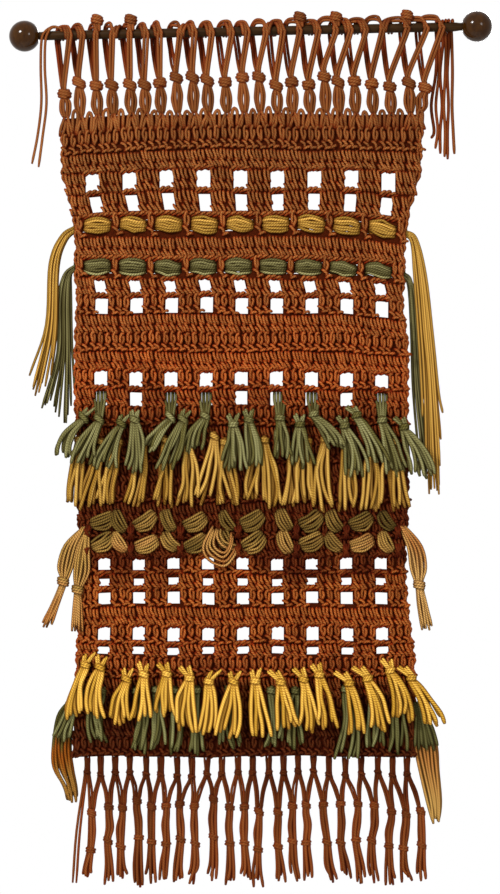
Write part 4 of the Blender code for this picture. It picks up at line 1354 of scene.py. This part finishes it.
def yarn_material(name, color_of, shade_tint, edge=2.2, crest=None):
    """Twisted matt cotton.

    Its colour is multiplied by the shade tint in painted shade: between the plies, on its sides and in
    painted shadow; and by the crest tint in a painted highlight on its best-lit tops. edge tells how
    fast the painted shade on its sides grows.
    """
    look = Shading(name)
    along, around, _ = look.parts(look.add("ShaderNodeUVMap", uv_map="wrap").outputs[0])
    turn = look.math("ADD", look.times(along, 2 * math.pi / PLY_GAP), look.times(around, 2 * math.pi * PLIES))
    plies = look.scaled(look.math("SINE", turn), 0.5, 0.5)
    fibres = look.noise(look.where, 1400, 2.0, 0.6)
    # Painted shade on a strand's sides: the less its normal points to the front or back, the darker.
    facing = look.parts(look.add("ShaderNodeNewGeometry").outputs["Normal"])[1]
    facing = look.math("POWER", look.math("ABSOLUTE", facing), edge)
    # Painted shade in the grooves between the plies, and the painted shadow of neighbouring strands.
    grooved = look.scaled(look.math("POWER", plies, 0.7), 0.74, 0.26)
    lit = look.times(look.scaled(facing, 0.9, 0.1), grooved)
    lit = look.times(lit, look.scaled(look.named("open"), 0.9, 0.1))
    bright = look.tinted(color_of(look, along, look.named("tone")), look.scaled(fibres, 0.6, 0.62))
    # Painted shade: where little is lit, the colour falls to the bright colour times the shade tint.
    shade = look.blend(lit, look.tinted(bright, (*shade_tint, 1)), bright)
    # Painted highlight: the best-lit tops turn towards the bright colour times the crest tint.
    if crest:
        painted_highlight = look.times(look.math("POWER", lit, 3.0), 0.35)
        shade = look.blend(painted_highlight, shade, look.tinted(bright, (*crest, 1)))
    relief = look.math("ADD", plies, look.times(fibres, 0.6))
    return look.surface(shade, relief, strength=0.9, rise=0.0006, roughness=0.9, gloss=0.04)


def toned(dark, light):
    """A colour that differs a little from strand to strand and from place to place."""
    def color_of(look, along, tone):
        patch = look.noise(look.where, 35, 3.0)
        mixed = look.math("ADD", look.times(tone, 0.75), look.times(patch, 0.3))
        return look.ramp(mixed, ((0.05, dark), (0.95, light)))
    return color_of


def brown_color(look, along, tone):
    """Brown at the top, more orange lower down, with painted shadow on the worked face under the tassels."""
    x, y, height = look.parts(look.where)
    patch = look.noise(look.where, 14, 3.0)
    drift = look.math("ADD", look.times(height, -1.05), look.scaled(patch, 0.16, -0.08))
    hue = look.ramp(drift, BROWN_HUES)
    # Painted shadow of the tassels; below, it is kept to the worked face in front of the cloth's wave.
    tassel_shadow = look.ramp(drift, BROWN_TASSEL_SHADOW)
    swing = look.math("SINE", look.times(x, 1 / (WAVE_ACROSS * MM)))
    wave = look.times(swing, look.times(height, -WAVE / WAVE_DOWN))
    front = look.scaled(look.math("SUBTRACT", y, wave), -1 / (0.8 * MM), 1.25)
    hue = look.tinted(hue, look.blend(front, (1, 1, 1, 1), tassel_shadow))
    return look.tinted(hue, look.scaled(tone, 0.5, 0.75))


def mixed_color(look, along, tone):
    """A yarn dyed in turns of olive, gold and orange; tone tells which turn a bundle shows."""
    drift = look.math("ADD", look.scaled(along, 0.0035, -0.08), tone)
    patch = look.scaled(look.noise(look.where, 22), 0.7, -0.35)
    return look.ramp(look.math("ADD", drift, patch), MIXED_HUES)


def banded(stops):
    """A yarn dyed in bands that all of a bundle's strands share, by depth in metres."""
    def color_of(look, along, tone):
        depth = look.times(look.parts(look.where)[2], -1.0)
        return look.ramp(look.math("ADD", depth, look.scaled(tone, 0.016, -0.008)), stops)
    return color_of


def shade_web_material():
    """The inside of the cloth, with loose fibres, near black as painted shade between the stitches."""
    look = Shading("cloth_inside_shade")
    fibres = look.noise(look.where, 700, 4.0, 0.7)
    color = look.ramp(fibres, ((0.3, (0.014, 0.0020, 0.0004)), (0.8, (0.055, 0.0080, 0.0014))))
    return look.surface(color, fibres, strength=0.8, rise=0.0004, roughness=0.95, gloss=0.02)


def wood_material(name, stain, roughness, gloss, grain_way):
    """Stained turned wood with small pores and a fine grain that is drawn out along grain_way."""
    look = Shading(name)
    drawn = look.add("ShaderNodeVectorMath", {0: look.where, 1: grain_way}, operation="MULTIPLY")
    where = drawn.outputs[0]
    grain = look.times(look.noise(where, 260, 5.0, 0.65), 0.8)
    mixed = look.math("ADD", grain, look.times(look.noise(where, 1500), 0.25))
    color = look.ramp(mixed, ((0.3, stain[0]), (0.75, stain[1])))
    return look.surface(color, mixed, strength=0.25, rise=0.0003, roughness=roughness, gloss=gloss)


# The studio.
def light(name, place, size, power):
    """A soft square light aimed at the middle of the hanging."""
    lamp = bpy.data.lights.new(name, "AREA")
    lamp.size = size
    lamp.energy = power
    toward = Vector(HANGING_MIDDLE) - Vector(place)
    lit = linked(name, lamp)
    lit.location = place
    lit.rotation_euler = toward.to_track_quat("-Z", "Y").to_euler()


def build_floor():
    """A pale floor below the hanging."""
    half, level = 1.3, -1.6
    corners = [(-half, -half, level), (half, -half, level), (half, half, level), (-half, half, level)]
    mesh = bpy.data.meshes.new("floor")
    mesh.from_pydata(corners, [], [(0, 1, 2, 3)])
    pale = bpy.data.materials.new("pale_floor")
    pale.use_nodes = True
    shader = pale.node_tree.nodes["Principled BSDF"]
    shader.inputs["Base Color"].default_value = (0.8, 0.8, 0.78, 1)
    shader.inputs["Roughness"].default_value = 0.9
    mesh.materials.append(pale)
    floor = linked("floor", mesh)


def build_studio():
    """Pale surroundings and soft lights, shown without a film look."""
    world = bpy.data.worlds.new("pale_room")
    world.use_nodes = True
    sky = world.node_tree.nodes["Background"]
    sky.inputs["Color"].default_value = (1.0, 1.0, 1.0, 1)
    sky.inputs["Strength"].default_value = 1.0
    bpy.context.scene.world = world
    bpy.context.scene.view_settings.view_transform = "Standard"
    build_floor()
    light("key", (-1.3, -1.8, 1.0), 0.45, 100)
    light("fill", (1.5, -2.2, 0.45), 0.6, 24)
    light("back", (0.6, 2.2, 0.5), 0.9, 30)


def build_camera():
    """Straight in front, with the photograph's framing."""
    lens = bpy.data.cameras.new("front")
    lens.sensor_width = 36
    lens.lens = 109.8
    camera = linked("front", lens)
    camera.location = (-0.0008, -3.0, -0.4574)
    camera.rotation_euler = (math.pi / 2, 0, 0)
    bpy.context.scene.camera = camera


build_studio()
build_camera()

BROWN = yarn_material("brown_cotton", brown_color, (0.54, 0.075, 0.012), 1.4, (0.80, 1.25, 2.4))
MIXED = yarn_material("variegated_cotton", mixed_color, (0.10, 0.045, 0.02), 2.8)
COTTONS = {
    name: yarn_material(name + "_cotton", toned(dark, light), shade_tint, *edge)
    for name, dark, light, shade_tint, *edge in PLAIN_COTTONS
}
LEFT_TAIL = yarn_material("left_tail_cotton", banded(LEFT_TAIL_BANDS), TAIL_SHADE_TINT)
RIGHT_TAIL = yarn_material("right_tail_cotton", banded(RIGHT_TAIL_BANDS), TAIL_SHADE_TINT)
ROD_WOOD = wood_material("rod_wood", ROD_STAIN, roughness=0.5, gloss=0.04, grain_way=(0.12, 1, 1))
BALL_WOOD = wood_material("ball_wood", BALL_STAIN, roughness=0.14, gloss=0.12, grain_way=(1, 1, 0.25))

build_rod(ROD_WOOD)
build_knob("knob_left", "ball_left", -1, BALL_WOOD)
build_knob("knob_right", "ball_right", 1, BALL_WOOD)

web = build_web(shade_web_material())
cloth_pieces = [
    build_stitches("stitches_top", ROWS[:6], BROWN),
    build_stitches("stitches_openwork", ROWS[6:14], BROWN),
    build_stitches("stitches_under_tassels", ROWS[14:22], BROWN),
    build_stitches("stitches_low", ROWS[22:28], BROWN),
    build_stitches("stitches_hem", ROWS[28:], BROWN),
]

build_loops(BROWN)
build_ribbon("yellow_ribbon_yarns", "yellow_ribbon", 212.6, 10.6, YELLOW_TAILS,
             COTTONS["old_gold"], "yellow_yarn")
build_ribbon("green_ribbon_yarns", "green_ribbon", 259.4, 10.0, GREEN_TAILS,
             COTTONS["moss"], "green_yarn")
build_tassels("upper_green_yarns", "upper_green_tassels", UPPER_GREEN, 415.5, (-12.0, -15.5),
              Fan(9, 2.1, 2.5, 0.9, 12), 8, COTTONS["green"], "green_yarn")
build_tassels("upper_yellow_yarns", "upper_yellow_tassels", UPPER_YELLOW, 440.0, (-6.2, -7.0),
              Fan(7, 2.3, 2.0, 1.3, 24), 0, COTTONS["yellow"], "yellow_yarn")
build_puffs(MIXED)
build_posts(BROWN)
build_tassels("lower_yellow_yarns", "lower_yellow_tassels", LOWER_YELLOW, 691.0, (-12.5, -16.0),
              Fan(7, 2.4, 2.0, 0.9, 12), 10, COTTONS["golden"], "yellow_yarn")
build_tassels("lower_green_yarns", "lower_green_tassels", LOWER_GREEN, 719.0, (-6.2, -7.0),
              Fan(7, 2.1, 1.5, 1.4, 20), 0, COTTONS["pale_green"], "green_yarn")
build_side_tail("left_tail_yarns", "side_tail_left", LEFT_TAIL_KNEES, LEFT_TAIL)
build_side_tail("right_tail_yarns", "side_tail_right", RIGHT_TAIL_KNEES, RIGHT_TAIL, RIGHT_TAIL_FAN)
build_fringe(BROWN)
build_left_cord(BROWN)
build_right_cords(BROWN)
